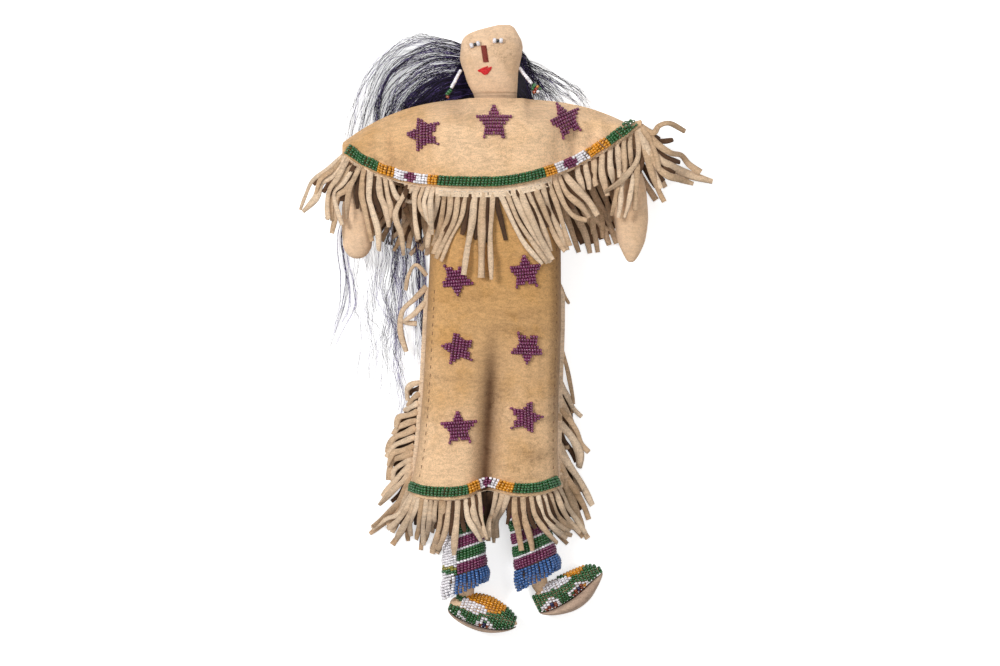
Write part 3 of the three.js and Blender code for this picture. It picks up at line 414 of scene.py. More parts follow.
DRESS_HIDE = hide_finish("dress hide", tone(243, 205, 164), tone(206, 158, 100), tone(92, 62, 40), 0.3)
BODY_HIDE = hide_finish("body hide", tone(240, 205, 170), tone(216, 174, 128), tone(112, 80, 58), 0.35, 60.0, grain=0.6)
FRINGE_HIDE = hide_finish("fringe hide", tone(246, 220, 190), tone(204, 168, 130), tone(70, 46, 32), 0.2, 70.0)
BACK_HIDE = hide_finish("back fringe hide", tone(240, 210, 178), tone(200, 164, 128), tone(70, 46, 32), 0.3, 70.0)
# Dark hide for strips laid under the fringes, where they paint the shade in the gaps between strips.
SHADE_PAINTED_HIDE = hide_finish("shaded fringe hide", tone(112, 82, 60), tone(78, 56, 40), tone(36, 24, 18), 0.5, 70.0)
SOLE_HIDE = hide_finish("sole hide", tone(196, 168, 146), tone(156, 128, 110), tone(84, 66, 56), 0.5, 80.0)
HAIR = fibre_finish("horsehair", tone(24, 17, 36), 0.5, 260.0, 0.9, 0.25)
# Pale violet strands mixed among the dark ones paint the hair's sheen.
FINE_SHEEN_HAIR = fibre_finish("fine horsehair", tone(100, 82, 146), 0.5, 260.0, 0.9, 0.3)
WHITE_THREAD = fibre_finish("pale sinew thread", tone(232, 216, 196), 0.6, 1400.0, 0.4)
DARK_THREAD = fibre_finish("dark thread", tone(124, 94, 68), 0.7, 1400.0, 0.4)
RED_THREAD = fibre_finish("red thread", tone(206, 36, 40), 0.5, 1800.0, 0.5)
BROWN_THREAD = fibre_finish("brown red thread", tone(134, 56, 46), 0.55, 1800.0, 0.5)
GLASS_BEADS = bead_finish()
TIN = tin_finish()

GREEN = tone(36, 98, 46)
YELLOW = tone(226, 152, 26)
WHITE = tone(246, 242, 246)
PLUM = tone(122, 44, 88)
BLUE = tone(52, 98, 160)
RUST = tone(150, 72, 44)
RED = tone(150, 34, 36)
NAVY = tone(30, 34, 84)
OLIVE = tone(150, 140, 50)
BLACK = tone(16, 16, 18)


# Mesh helpers
def make_piece(name, points, faces, material, marks=None, sharp=None):
    mesh = bpy.data.meshes.new(name)
    mesh.from_pydata([(p[0] * MM, p[1] * MM, p[2] * MM) for p in points], [], faces)
    mesh.update()
    mesh.shade_smooth()
    if sharp:
        mesh.set_sharp_from_angle(angle=radians(sharp))
    for key, values in (marks or {}).items():
        mesh.attributes.new(key, "FLOAT", "POINT").data.foreach_set("value", np.array(values, np.float32))
    mesh.materials.append(material)
    return placed(name, mesh)


def settle(obj, body, nodes=()):
    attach(obj, body)
    if nodes:
        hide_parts(*nodes)
    return obj


def panel(name, grid, thickness, material, marks=None):
    """A sheet of hide: the outer face is a grid of points, the inner one lies a thickness below it."""
    outer = np.array([[tuple(p) for p in row] for row in grid], float)
    rows, columns = outer.shape[:2]
    normals = np.cross(np.gradient(outer, axis=1), np.gradient(outer, axis=0))
    normals /= np.linalg.norm(normals, axis=2, keepdims=True)
    inner = outer - normals * thickness
    points = np.concatenate([outer.reshape(-1, 3), inner.reshape(-1, 3)])
    layer = rows * columns
    faces = []
    for r in range(rows - 1):
        for c in range(columns - 1):
            a = r * columns + c
            faces.append((a, a + 1, a + columns + 1, a + columns))
            faces.append((layer + a, layer + a + columns, layer + a + columns + 1, layer + a + 1))
    rim = [(c + 1, c) for c in range(columns - 1)]
    rim += [((rows - 1) * columns + c, (rows - 1) * columns + c + 1) for c in range(columns - 1)]
    rim += [(r * columns, (r + 1) * columns) for r in range(rows - 1)]
    rim += [((r + 2) * columns - 1, (r + 1) * columns - 1) for r in range(rows - 1)]
    faces += [(a, b, layer + b, layer + a) for a, b in rim]
    both = {key: list(values) * 2 for key, values in (marks or {}).items()}
    return make_piece(name, points, faces, material, both, 60)


def rings_mesh(name, rings, material, marks=None):
    """A closed form through rings of equal count, with a fan over each end."""
    sides = len(rings[0])
    points = [p for ring in rings for p in ring]
    faces = []
    for r in range(len(rings) - 1):
        for s in range(sides):
            a, b = r * sides + s, r * sides + (s + 1) % sides
            faces.append((a, a + sides, b + sides, b))
    for end, ring in ((0, rings[0]), (len(rings) - 1, rings[-1])):
        centre = len(points)
        points.append(tuple(np.mean([tuple(p) for p in ring], axis=0)))
        for s in range(sides):
            a, b = end * sides + s, end * sides + (s + 1) % sides
            faces.append((centre, a, b) if end == 0 else (centre, b, a))
    return make_piece(name, points, faces, material, marks)


def rounded(sides, fullness):
    """Places round an oval of half width one and half height one; a low fullness squares it."""
    turns = [2 * pi * i / sides for i in range(sides)]
    return [[copysign(abs(v) ** fullness, v) for v in (cos(t), sin(t))] for t in turns]


def oval(at, along, wide, thick, sides, fullness):
    """A ring square to a direction: half width across it and half thickness upwards."""
    across = Vector(along).cross(up(1)).normalized()
    return [Vector(at) + across * (wide * c) + up(thick * s) for c, s in rounded(sides, fullness)]


def lumpy(ring, middle, depth, large, small, seed=0.0):
    """A ring made a little uneven by lumps of two sizes."""
    made = []
    for p in ring:
        swell = noise.noise(p / large + Vector((seed, seed, 0))) + 0.4 * noise.noise(p / small)
        made.append(p + (p - Vector(middle)).normalized() * depth * swell)
    return made


def stuffed(name, stations, rings, fullness, ripple, seed=0.0, sides=40):
    """A stuffed bag through stations of x, y, z, half width and half thickness, a little uneven."""
    made = []
    for i in range(rings + 1):
        t = i / rings
        x, y, z, wide, thick = catmull(stations, t)
        along = Vector((*(catmull(stations, t + 0.01)[:2] - catmull(stations, t - 0.01)[:2]), 0))
        ring = oval((x, y, z), along, max(wide, 0.2), max(thick, 0.2), sides, fullness)
        made.append(lumpy(ring, (x, y, z), ripple, 11, 3.5, seed))
    return rings_mesh(name, made, BODY_HIDE)


# Geometry Nodes trees for what repeats
def grow_tree(name, sizes):
    """A tree that takes a geometry, sizes and a material."""
    inputs = {"Geometry": "Geometry", **sizes, "Material": "Material"}
    return new_group(name, "GeometryNodeTree", inputs, {"Geometry": "Geometry"})


def finish_tree(tree, given, made, geometry, crisp=None):
    """Realize Instances and Set Material at the end of a tree; crisp is the angle of an edge that stays sharp."""
    for kind in ("GeometryNodeRealizeInstances", "GeometryNodeSetShadeSmooth"):
        geometry = node(tree, kind, {"Geometry": geometry}).outputs["Geometry"]
    if crisp:
        angle = node(tree, "GeometryNodeInputMeshEdgeAngle").outputs["Unsigned Angle"]
        edges = {"Geometry": geometry, "Selection": sums(tree, "GREATER_THAN", angle, crisp), "Shade Smooth": False}
        geometry = node(tree, "GeometryNodeSetShadeSmooth", edges, domain="EDGE").outputs["Geometry"]
    paint = node(tree, "GeometryNodeSetMaterial", {"Geometry": geometry, "Material": given["Material"]})
    fill(tree, made, {"Geometry": paint.outputs["Geometry"]})
    return tree


def circle(tree, resolution, radius):
    sizes = {"Resolution": resolution, "Radius": radius}
    return node(tree, "GeometryNodeCurvePrimitiveCircle", sizes).outputs["Curve"]


def combined(tree, **parts):
    return node(tree, "ShaderNodeCombineXYZ", parts).outputs["Vector"]


def stored(tree, geometry, name, value, domain):
    """A geometry with a named mark on it."""
    marks = {"Geometry": geometry, "Name": name, "Value": value}
    made = node(tree, "GeometryNodeStoreNamedAttribute", marks, data_type="FLOAT", domain=domain)
    return made.outputs["Geometry"]


def swept(tree, line, profile):
    """A profile swept along each line, at the line's own radius."""
    made = node(tree, "GeometryNodeCurveToMesh", {"Curve": line, "Profile Curve": profile, "Fill Caps": True})
    if "Scale" in made.inputs:
        fill(tree, made, {"Scale": node(tree, "GeometryNodeInputRadius").outputs["Radius"]})
    return made.outputs["Mesh"]


def bead_tree():
    """A round glass bead on each point, its bore along the thread."""
    tree, given, made = grow_tree("threaded beads", {"Diameter": 0.002, "Length": 0.0014, "Bore": 0.0007})
    wall = sums(tree, "DIVIDE", sums(tree, "SUBTRACT", given["Diameter"], given["Bore"]), 4.0)
    middle = sums(tree, "DIVIDE", plus(tree, given["Diameter"], given["Bore"]), 4.0)
    size = combined(tree, X=wall, Y=sums(tree, "DIVIDE", given["Length"], 2.0), Z=1.0)
    section = node(tree, "GeometryNodeTransform", {"Geometry": circle(tree, 6, 1.0), "Scale": size})
    curves = {"Curve": circle(tree, 9, middle), "Profile Curve": section.outputs["Geometry"]}
    ring = node(tree, "GeometryNodeCurveToMesh", curves)
    thread = node(tree, "GeometryNodeInputNamedAttribute", {"Name": "along"}, data_type="FLOAT_VECTOR")
    grade = node(tree, "GeometryNodeInputNamedAttribute", {"Name": "size"}, data_type="FLOAT")
    turn = node(tree, "FunctionNodeAlignRotationToVector", {"Vector": thread.outputs["Attribute"]}, axis="Z")
    place = node(tree, "GeometryNodeInstanceOnPoints", {
        "Points": given["Geometry"], "Instance": ring.outputs["Mesh"], "Rotation": turn.outputs["Rotation"],
        "Scale": grade.outputs["Attribute"],
    })
    return finish_tree(tree, given, made, place.outputs["Instances"])


def strip_tree():
    """A cut hide strip along each line, a flat section with softened corners and turned-up edges, darkened with painted
    shade.
    """
    sizes = {"Width": 0.0026, "Thickness": 0.0009, "Corner": 0.0003, "Cup": 0.0005, "Seed": 1}
    tree, given, made = grow_tree("cut hide strips", sizes)
    flat = {"Width": given["Width"], "Height": given["Thickness"]}
    section = node(tree, "GeometryNodeCurvePrimitiveQuadrilateral", flat).outputs["Curve"]
    corners = {"Curve": section, "Count": 1, "Radius": given["Corner"]}
    soft = node(tree, "GeometryNodeFilletCurve", corners, mode="POLY").outputs["Curve"]
    cut = node(tree, "GeometryNodeSubdivideCurve", {"Curve": soft, "Cuts": 1}).outputs["Curve"]
    position = node(tree, "GeometryNodeInputPosition").outputs["Position"]
    off = sums(tree, "ABSOLUTE", node(tree, "ShaderNodeSeparateXYZ", {0: position}).outputs["X"])
    share = sums(tree, "DIVIDE", off, sums(tree, "DIVIDE", given["Width"], 2.0))
    lift = combined(tree, Y=times(tree, sums(tree, "POWER", share, 2.0), given["Cup"]))
    cupped = node(tree, "GeometryNodeSetPosition", {"Geometry": cut, "Offset": lift}).outputs["Geometry"]
    # Painted shade along both edges of each strip.
    edge = times(tree, sums(tree, "POWER", share, 5.0), 0.42)
    profile = stored(tree, cupped, "crease", edge, "POINT")
    chance = node(tree, "FunctionNodeRandomValue", {"Min": 0.0, "Max": 0.85, "Seed": given["Seed"]}, data_type="FLOAT")
    tint = [s for s in chance.outputs if s.enabled][0]
    line = stored(tree, given["Geometry"], "ochre", tint, "CURVE")
    return finish_tree(tree, given, made, swept(tree, line, profile), 0.6)


def strand_tree():
    """A round thread or hair along each line."""
    tree, given, made = grow_tree("round strands", {"Radius": 0.0001, "Sides": 3})
    section = circle(tree, given["Sides"], given["Radius"])
    return finish_tree(tree, given, made, swept(tree, given["Geometry"], section))


BEAD_TREE = bead_tree()
STRIP_TREE = strip_tree()
STRAND_TREE = strand_tree()


def grown(name, source, tree, values, drop=()):
    """The mesh that a tree grows on a source object, as a plain object at the origin."""
    modifier = source.modifiers.new("grow", "NODES")
    modifier.node_group = tree
    for item in tree.interface.items_tree:
        if item.in_out == "INPUT" and item.name in values:
            modifier[item.identifier] = values[item.name]
    graph = bpy.context.evaluated_depsgraph_get()
    shown = source.evaluated_get(graph)
    mesh = bpy.data.meshes.new_from_object(shown, preserve_all_data_layers=True, depsgraph=graph)
    source.modifiers.remove(modifier)
    bpy.data.objects.remove(source)
    for key in drop:
        if key in mesh.attributes:
            mesh.attributes.remove(mesh.attributes[key])
    mesh.name = name
    return placed(name, mesh)


class Beads:
    """Beads to be sewn on: middle, thread direction, colour and size."""

    def __init__(self, seed):
        self.rows = []
        self.chance = random.Random(seed)

    def put(self, at, along, colour, size=1.0):
        shade = self.chance.uniform(0.8, 1.14)
        grade = size * self.chance.uniform(0.95, 1.05)
        shift = Vector([self.chance.uniform(-0.07, 0.07) for _ in range(3)])
        self.rows.append((Vector(at) + shift, Vector(along), [c * shade for c in colour], grade))

    def lay(self, face, x, y, way, lift, colour):
        """A bead lying on a face, its thread along a direction on the ground plan."""
        at = lying(face, x, y, lift)
        thread = lying(face, x + way.x * 0.5, y + way.y * 0.5, lift) - at
        self.put(at, thread.normalized(), colour)

    def sew(self, name, body, slot, nodes):
        mesh = bpy.data.meshes.new(name)
        mesh.from_pydata([tuple(r[0] * MM) for r in self.rows], [], [])
        along = mesh.attributes.new("along", "FLOAT_VECTOR", "POINT")
        along.data.foreach_set("vector", [c for r in self.rows for c in r[1]])
        colour = mesh.attributes.new("bead_colour", "FLOAT_COLOR", "POINT")
        colour.data.foreach_set("color", [c for r in self.rows for c in (*r[2], 1.0)])
        mesh.attributes.new("size", "FLOAT", "POINT").data.foreach_set("value", [r[3] for r in self.rows])
        values = {
            "Diameter": BEAD_PITCH * MM, "Length": BEAD_LENGTH * MM, "Bore": BORE_SHARE * BEAD_PITCH * MM,
            "Material": GLASS_BEADS,
        }
        settle(grown(name, placed(name, mesh), BEAD_TREE, values, ("along", "size")), body, nodes)


def lines_object(name, lines, twist="Z_UP"):
    """A curve of straight-pointed lines; each point is x, y, z, scale and twist."""
    curve = bpy.data.curves.new(name, "CURVE")
    curve.dimensions = "3D"
    curve.twist_mode = twist
    for line in lines:
        spline = curve.splines.new("POLY")
        spline.points.add(len(line) - 1)
        spline.points.foreach_set("co", [c for p in line for c in (p[0] * MM, p[1] * MM, p[2] * MM, 1.0)])
        spline.points.foreach_set("radius", [p[3] for p in line])
        spline.points.foreach_set("tilt", [p[4] for p in line])
    return placed(name, curve)


def cut_strips(name, lines, material, width, seed=1):
    values = {
        "Width": width * MM, "Thickness": STRIP * MM, "Corner": 0.2 * STRIP * MM, "Cup": 0.14 * width * MM,
        "Seed": seed, "Material": material,
    }
    return grown(name, lines_object(name, lines), STRIP_TREE, values)


def sewn_threads(name, lines, material, radius, sides=6):
    values = {"Radius": radius * MM, "Sides": sides, "Material": material}
    return grown(name, lines_object(name, lines, "MINIMUM"), STRAND_TREE, values)


# Dress faces: places of the hem line, then height, half width and middle of the skirt
HEM_LINE = [
    (-48, -88), (-44, -89.4), (-38, -91.4), (-30, -92.2), (-20, -92.2), (-12, -91), (-8, -89), (-4, -87.2), (0, -86.8),
    (4, -87.8), (10, -89.7), (20, -90.4), (28, -89.5), (34, -87.6), (42, -84.5),
]
SKIRT_Y, SKIRT_HALF, SKIRT_MIDDLE = zip(
    (-90, 41.8, -3.2), (-70, 38.6, -1.5), (-30, 37.4, 0.6), (0, 37.2, 2.0), (40, 36.2, 3.0), (90, 35.0, 3.0))
# Folds, then stains with painted shade along the folds, then warm patches: strength, middle, two reaches, turn
SKIRT_FOLDS = [
    (0.9, 13, 9, 13, 1.9, -14), (0.8, 15, 3, 11, 1.6, -8), (0.6, -14, 12, 12, 2.2, 10), (0.7, 10, -14, 10, 1.8, -24),
    (0.6, 27, -30, 2.4, 26, 4), (0.5, -28, -36, 2.4, 30, -3), (0.55, 14, -72, 12, 2.2, 8), (0.5, -20, -76, 14, 2.4, -6),
]
SKIRT_STAINS_AND_SHADE = [
    (0.4, 27, -69, 7, 3.6, 10), (0.2, -18, -27, 12, 2.6, -4), (0.2, 14, 8, 15, 3.0, -12), (0.18, 10, 0, 12, 2.6, -6),
    (0.2, -10, 18, 20, 3.4, 4), (0.22, 22, 10, 9, 1.6, 8), (0.2, 24, -1, 8, 1.8, 12),
]
SKIRT_WARMTH = [(0.25, 22, -40, 12, 22), (0.4, 18, -70, 16, 14), (0.3, -16, -30, 14, 18)]
YOKE_FOLDS = [(0.6, -18, 119, 9, 2.6, 14), (0.5, 24, 118, 10, 2.4, -8), (0.5, 2, 91, 24, 3, 0)]
YOKE_STAINS = [(0.3, -13, 116, 9, 5), (0.24, 24, 117, 9, 5), (0.2, -48, 92, 8, 5, 20), (0.16, 46, 108, 6, 9)]
HEAD_STAINS = [(0.12, -8, 146, 7, 6), (0.1, 10, 152, 6, 8)]
# How much painted shade darkens the hide in the gaps between the beads of a band.
BEAD_GAP_SHADE = 0.6


def eased(value, places, measures, reach):
    """A measure between places, averaged over a short reach."""
    return float(np.mean([np.interp(value + reach * k, places, measures) for k in (-1, -0.5, 0, 0.5, 1)]))


def skirt_half(y):
    return eased(y, SKIRT_Y, SKIRT_HALF, 10)


def skirt_middle(y):
    return eased(y, SKIRT_Y, SKIRT_MIDDLE, 10)


def hem_y(x):
    """Lower edge of the hem band, dipping over both legs."""
    return eased(x, *zip(*HEM_LINE), 2)


def valley_x(y):
    """The hollow of the skirt between the legs."""
    return mix(2.5, -2.6, clamp((5 - y) / 92))


def dome(t, power):
    return (1 - min(abs(t), 1) ** power) ** (1 / power)


def skirt_crown(y):
    return mix(TORSO_TOP + SEAT + HIDE, LEG_TOP + 1.5 + HIDE + STRIP + SEAT, smooth((55 - y) / 105))


def skirt_relief(x, y):
    """Small folds and handling marks of the skirt front, always outwards."""
    rise = 0.28 * (1 + wave(x, y, 24, 3.1)) + 0.1 * (1 + wave(x, y, 6.5, 8.4))
    return rise + spots(x, y, SKIRT_FOLDS)


def skirt_front_z(x, y):
    t = (x - skirt_middle(y)) / skirt_half(y)
    edge = SEAM_Z + STRIP / 2 + SEAT
    dip = 7.5 * smooth((10 - y) / 80) * bell(x - valley_x(y), 6.4)
    flat = abs(clamp(t, -1, 1)) ** 4
    return edge + (skirt_crown(y) - edge) * dome(t, 3.2) - dip + skirt_relief(x, y) * (1 - flat)


def skirt_front(x, y):
    return Vector((x, y, skirt_front_z(x, y)))


def skirt_back_z(x, y):
    t = (x - skirt_middle(y)) / skirt_half(y)
    edge = SEAM_Z - STRIP / 2 - SEAT
    base = SKIRT_BACK_LIFT * smooth((y - 14) / 20)
    return edge - (edge - base) * dome(t, 4.5)


def shoulder_y(x):
    t = -x / RIGHT_SPAN if x < 0 else x / LEFT_SPAN
    if x < 0:
        return 127.5 - 24 * t**2.6
    return max(127.5 - 18 * t**3, yoke_edge_y(x) + 5.4 - 1.8 * smooth((x - 79) / 4))


def yoke_edge_y(x):
    t = clamp(-x / RIGHT_SPAN if x < 0 else x / LEFT_SPAN)
    return 77.5 + (19.5 * t**3.2 if x < 0 else 35 * t**1.9)


def neck_opening(x):
    return 1 - smooth((abs(x - 3.5) - 14) / 6)


def chest_share(x):
    return 1 - smooth((abs(x) - 24) / 28)


def yoke_rise(v):
    return sin((pi / 2) * clamp(v / 0.42))


def yoke_relief(x, y):
    """Soft folds that run from the shoulders to the bead band."""
    outer = smooth((abs(x) - 26) / 22)
    rise = 0.25 * (1 + wave(x, y, 22, 5.7)) + 0.09 * (1 + wave(x, y, 6, 1.3))
    rise += outer * 0.6 * (1 + sin(x * 0.62 + 0.05 * y + (0.8 if x < 0 else 2.0)))
    return rise + spots(x, y, YOKE_FOLDS)


def yoke_front_at(x, v):
    y = mix(shoulder_y(x), yoke_edge_y(x), v)
    fold = mix(13.0, NECK_Z + 7 + SEAT + HIDE, neck_opening(x))
    full = mix(SLEEVE_Z, CHEST_Z, chest_share(x))
    rise = yoke_rise(v)
    return Vector((x, y, mix(fold, full, rise) + yoke_relief(x, y) * rise))


def yoke_front(x, y):
    return yoke_front_at(x, (shoulder_y(x) - y) / (shoulder_y(x) - yoke_edge_y(x)))


def yoke_back_at(x, v):
    y = mix(shoulder_y(x), yoke_edge_y(x), v)
    fold = mix(10.7, NECK_Z - 7 - SEAT - HIDE, neck_opening(x))
    return Vector((x, y, mix(fold, mix(SLEEVE_BACK_Z, 0, chest_share(x)), yoke_rise(v))))


def outward(face, x, y, step=0.4):
    across = face(x + step, y) - face(x - step, y)
    along = face(x, y + step) - face(x, y - step)
    return across.cross(along).normalized()


def lying(face, x, y, lift):
    return face(x, y) + outward(face, x, y) * lift


# Dress panels
def spaced(low, high, count):
    """Places that are closer together towards both ends."""
    ts = [2 * i / (count - 1) - 1 for i in range(count)]
    return [mix(low, high, 0.5 + 0.5 * (0.75 * t + 0.25 * sin(pi / 2 * t))) for t in ts]


def under_band(over):
    """Whether a height over an edge lies under its bead band."""
    return BAND_EDGE + 0.3 < over < BAND_EDGE + BAND_WIDTH - 0.6


def skirt_panel(name, front, rows=150, columns=110):
    grid, ochre, crease = [], [], []
    for r in range(rows):
        v = r / (rows - 1) if front else 1 - r / (rows - 1)
        level_y = mix(SKIRT_HEM_Y, SKIRT_TOP_Y, v)
        grid.append([])
        for share in spaced(-1, 1, columns):
            x = skirt_middle(level_y) + share * skirt_half(level_y)
            y = mix(hem_y(x) - 0.8, SKIRT_TOP_Y, v) if front else level_y
            middle, half = skirt_middle(y), skirt_half(y)
            x = middle + share * half
            grid[-1].append((x, y, skirt_front_z(x, y) if front else skirt_back_z(x, y)))
            off = x - valley_x(y)
            # Painted shade, with some dirt, darkens the hollow between the legs.
            valley = 0.6 * bell(off + 0.6, 3.4) + 0.46 * bell(off - 0.4, 7.6)
            # Painted shade darkens the skirt towards both sides, and more towards +x.
            edge = 0.34 * smooth((abs(x - middle) / half - 0.84) / 0.16)
            edge += 0.3 * smooth((x - middle - 0.8 * half) / 3) * smooth((y + 70) / 30)
            # Painted shade in the gaps between the beads of the hem band.
            sewn = BEAD_GAP_SHADE if front and under_band(y - hem_y(x)) else 0.0
            ochre.append(0.82 * smooth((y + 66) / 92) + 0.12 + spots(x, y, SKIRT_WARMTH))
            crease.append(valley * smooth((14 - y) / 50) + spots(x, y, SKIRT_STAINS_AND_SHADE) + edge + sewn)
    return panel(name, grid, HIDE, DRESS_HIDE, {"ochre": ochre, "crease": crease})


def yoke_panel(name, front, rows=64, columns=170):
    grid, ochre, crease = [], [], []
    for r in range(rows):
        v = 1 - r / (rows - 1) if front else r / (rows - 1)
        grid.append([])
        for c in range(columns):
            x = mix(-RIGHT_SPAN, LEFT_SPAN, c / (columns - 1))
            p = yoke_front_at(x, v) if front else yoke_back_at(x, v)
            grid[-1].append(tuple(p))
            warm = 0.55 * smooth((-x - 16) / 34) + 0.1 * smooth((x - 56) / 20)
            ochre.append(0.16 * smooth((104 - p.y) / 28) * chest_share(x) + warm)
            over = p.y - yoke_edge_y(x)
            # Painted shade in the gaps between the beads of the yoke band.
            sewn = BEAD_GAP_SHADE if front and under_band(over) and -79 < x < 80 else 0.0
            # Darker towards the neckline: painted shade of the fold there.
            crease.append(spots(x, p.y, YOKE_STAINS) + sewn + 0.16 * smooth((over - 40) / 9))
    return panel(name, grid, HIDE, DRESS_HIDE, {"ochre": ochre, "crease": crease})


def dress_sheet(obj, node_name):
    settle(obj, "torso", [node_name])


dress_sheet(skirt_panel("skirt_front_hide", True), "skirt_front")
dress_sheet(skirt_panel("skirt_back_hide", False), "skirt_back")
dress_sheet(yoke_panel("yoke_front_hide", True), "yoke_front")
dress_sheet(yoke_panel("yoke_back_hide", False), "yoke_back")


# Bead bands: short threads of four beads across the band; a run ends at an x and has a colour, or a diamond's place
def band_colour(x, row, runs):
    """Colour of a bead by its place along the band; plum diamonds sit in the white runs."""
    colour = next(colour for end, colour in runs if x < end)
    if isinstance(colour, tuple):
        return colour
    middle, half = colour
    return PLUM if half - abs(x - middle) > (0.8 if row in (1, 2) else 2.2) else WHITE


def sew_band(name, node_name, face, edge_y, low, high, runs, seed):
    beads = Beads(seed)
    places, x = [], low
    while x < high:
        places.append(x)
        ahead = face(x + 0.5, edge_y(x + 0.5) + BAND_EDGE)
        x += 0.5 * (BAND_PITCH / (ahead - face(x, edge_y(x) + BAND_EDGE)).length)
    lane_chance = random.Random(seed)
    for x in places:
        slope = edge_y(x + 0.5) - edge_y(x - 0.5)
        lean = radians(mix(11, -8, smooth((abs(x) - 16) / 34))) + lane_chance.uniform(-0.04, 0.04)
        along = atan(slope) + pi / 2 - lean
        across = Vector((cos(along), sin(along)))
        thread_lift = BEAD_LIFT + lane_chance.uniform(-0.1, 0.25)
        for row in range(BAND_ROWS):
            reach = BAND_EDGE + (row + 0.5) * BEAD_LENGTH
            px, py = x + across.x * reach, edge_y(x) + across.y * reach
            lift = thread_lift + 0.5 * sin(pi * (row + 0.5) / BAND_ROWS)
            beads.lay(face, px, py, across, lift, band_colour(x, row, runs))
    beads.sew(name, "torso", "beads_green", [node_name])


YOKE_RUNS = [(-61.6, GREEN), (-53.2, YELLOW), (-34.4, [-43.5, 4.4]), (-29.2, YELLOW), (29.7, GREEN), (36.9, YELLOW),
             (55, [45.2, 4.4]), (66.4, YELLOW), (99, GREEN)]
HEM_RUNS = [(-12.1, GREEN), (-6.6, YELLOW), (4.1, [-1.4, 3.4]), (11.6, YELLOW), (99, GREEN)]
sew_band("yoke_band_beads", "yoke_bead_band", yoke_front, yoke_edge_y, -79.5, 82.4, YOKE_RUNS, 11)
sew_band("hem_band_beads", "hem_bead_band", skirt_front, hem_y, -43.6, 38, HEM_RUNS, 12)


# Beaded stars: name, middle, turn, radius and face; straight rows of beads fill a five-pointed outline
STARS = [
    ("star_yoke_right", -35.8, 107, 180, 9.4, yoke_front),
    ("star_yoke_middle", 2.2, 113, 90, 9.9, yoke_front),
    ("star_yoke_left", 41.4, 114.2, 116, 9.6, yoke_front),
    ("star_skirt_top_right", -18.2, 28, -85, 9.2, skirt_front),
    ("star_skirt_top_left", 19.3, 31.5, 95, 9.6, skirt_front),
    ("star_skirt_middle_right", -17, -9.9, 172, 9.4, skirt_front),
    ("star_skirt_middle_left", 20.5, -9.4, -92, 9.4, skirt_front),
    ("star_skirt_low_right", -17, -53.9, 94, 9.6, skirt_front),
    ("star_skirt_low_left", 19.5, -47.9, 2, 9.4, skirt_front),
]


def inside(x, y, corners):
    hit = False
    for (ax, ay), (bx, by) in zip(corners, corners[1:] + corners[:1]):
        if (ay > y) != (by > y) and x < ax + (y - ay) * (bx - ax) / (by - ay):
            hit = not hit
    return hit


def sew_star(seed, node_name, x, y, turn, radius, face):
    beads = Beads(seed)
    corners = []
    for k in range(10):
        angle = radians(36 * k)
        reach = radius * (1.05 if k % 2 == 0 else 0.56) * beads.chance.uniform(0.95, 1.05)
        corners.append((reach * cos(angle), reach * sin(angle)))
    c, s = cos(radians(turn)), sin(radians(turn))
    row_way = Vector((-s, c))
    for row in range(-5, 7):
        u = row * STAR_PITCH - 0.4
        run = []
        for k in range(-60, 62):
            v = k * 0.2
            if inside(u, v, corners):
                run.append(v)
            elif run:
                count = max(1, round((run[-1] - run[0] + 0.7) / (1.06 * BEAD_LENGTH)))
                for i in range(count):
                    w = mix(run[0], run[-1], (i + 0.5) / count)
                    px, py = x + c * u - s * w, y + s * u + c * w
                    lift = BEAD_LIFT + 0.25 * cos(pi * w / 12)
                    beads.lay(face, px, py, row_way, lift, PLUM)
                run = []
    beads.sew(node_name + "_beads", "torso", "beads_plum", [node_name])


for number, entry in enumerate(STARS):
    sew_star(20 + number, *entry)


# Fringe strips
def strip_line(points, height, seed, width, twist, ripple=0.4, steps=20):
    """A limp strip through places on the ground plan, a little uneven in width and twisting towards its end."""
    pick = random.Random(seed)
    phase, turn_end, narrow = pick.uniform(0, 6.3), pick.uniform(-1, 1) * twist, pick.uniform(0, 0.35)
    line = []
    for i in range(steps + 1):
        t = i / steps
        x, y = catmull(points, t)
        sway = 0.5 * sin(6 * t + phase) * smooth(3 * t)
        tilt = turn_end * smooth((t - 0.1) / 0.9) * (1 + 0.5 * sin(6 * t + phase))
        wide = width * (1 + 0.13 * sin(8 * t + phase)) * (1 - narrow * smooth((t - 0.8) / 0.2))
        z = height(x, y, t) + ripple * sin(7 * t + phase) * smooth(4 * t)
        line.append((x + sway * 0.6, y, z, wide, tilt))
    return line


def filler(a, b, share, count=4):
    """A strip lying under two neighbours, between them and a little shorter."""
    places = [i / (count - 1) * share for i in range(count)]
    return [tuple((catmull(a, t) + catmull(b, t)) / 2) for t in places]


def hang(name, node_name, skin, strips, under, face, seed):
    """A fringe: its strips, strips of painted shade under them, and the uncut edge that they hang from."""
    (width, lines), (under_width, under_lines) = strips, under
    settle(cut_strips(name, lines, skin, width, seed), "torso", [node_name])
    if under_lines:
        settle(cut_strips(name + "_under", under_lines, SHADE_PAINTED_HIDE, under_width), "torso")
    grid = [[face(c / 59, r / 5) for c in range(60)] for r in range(6)]
    settle(panel(name + "_edge", grid, STRIP, skin), "torso")


def yoke_header_face(low, high, at, drop, show, tuck):
    def face(u, v):
        x = mix(low, high, u)
        tall = shoulder_y(x) - yoke_edge_y(x)
        p = at(x, 1 + mix(show, -tuck, v) / tall)
        return p + up(drop)
    return face


def below_edge(at, x, drop=2.0):
    """A place a little below the yoke's lower edge."""
    return at(x, 1 + drop / (shoulder_y(x) - yoke_edge_y(x)))


def header_z(x):
    return yoke_front_at(clamp(x, -80, 82), 1.0).z - HIDE - SEAT - STRIP / 2


def rows_of(*rows):
    """Rows of a first value and the places after it, given as x and y in turn."""
    return [(first, list(zip(places[::2], places[1::2]))) for first, *places in rows]


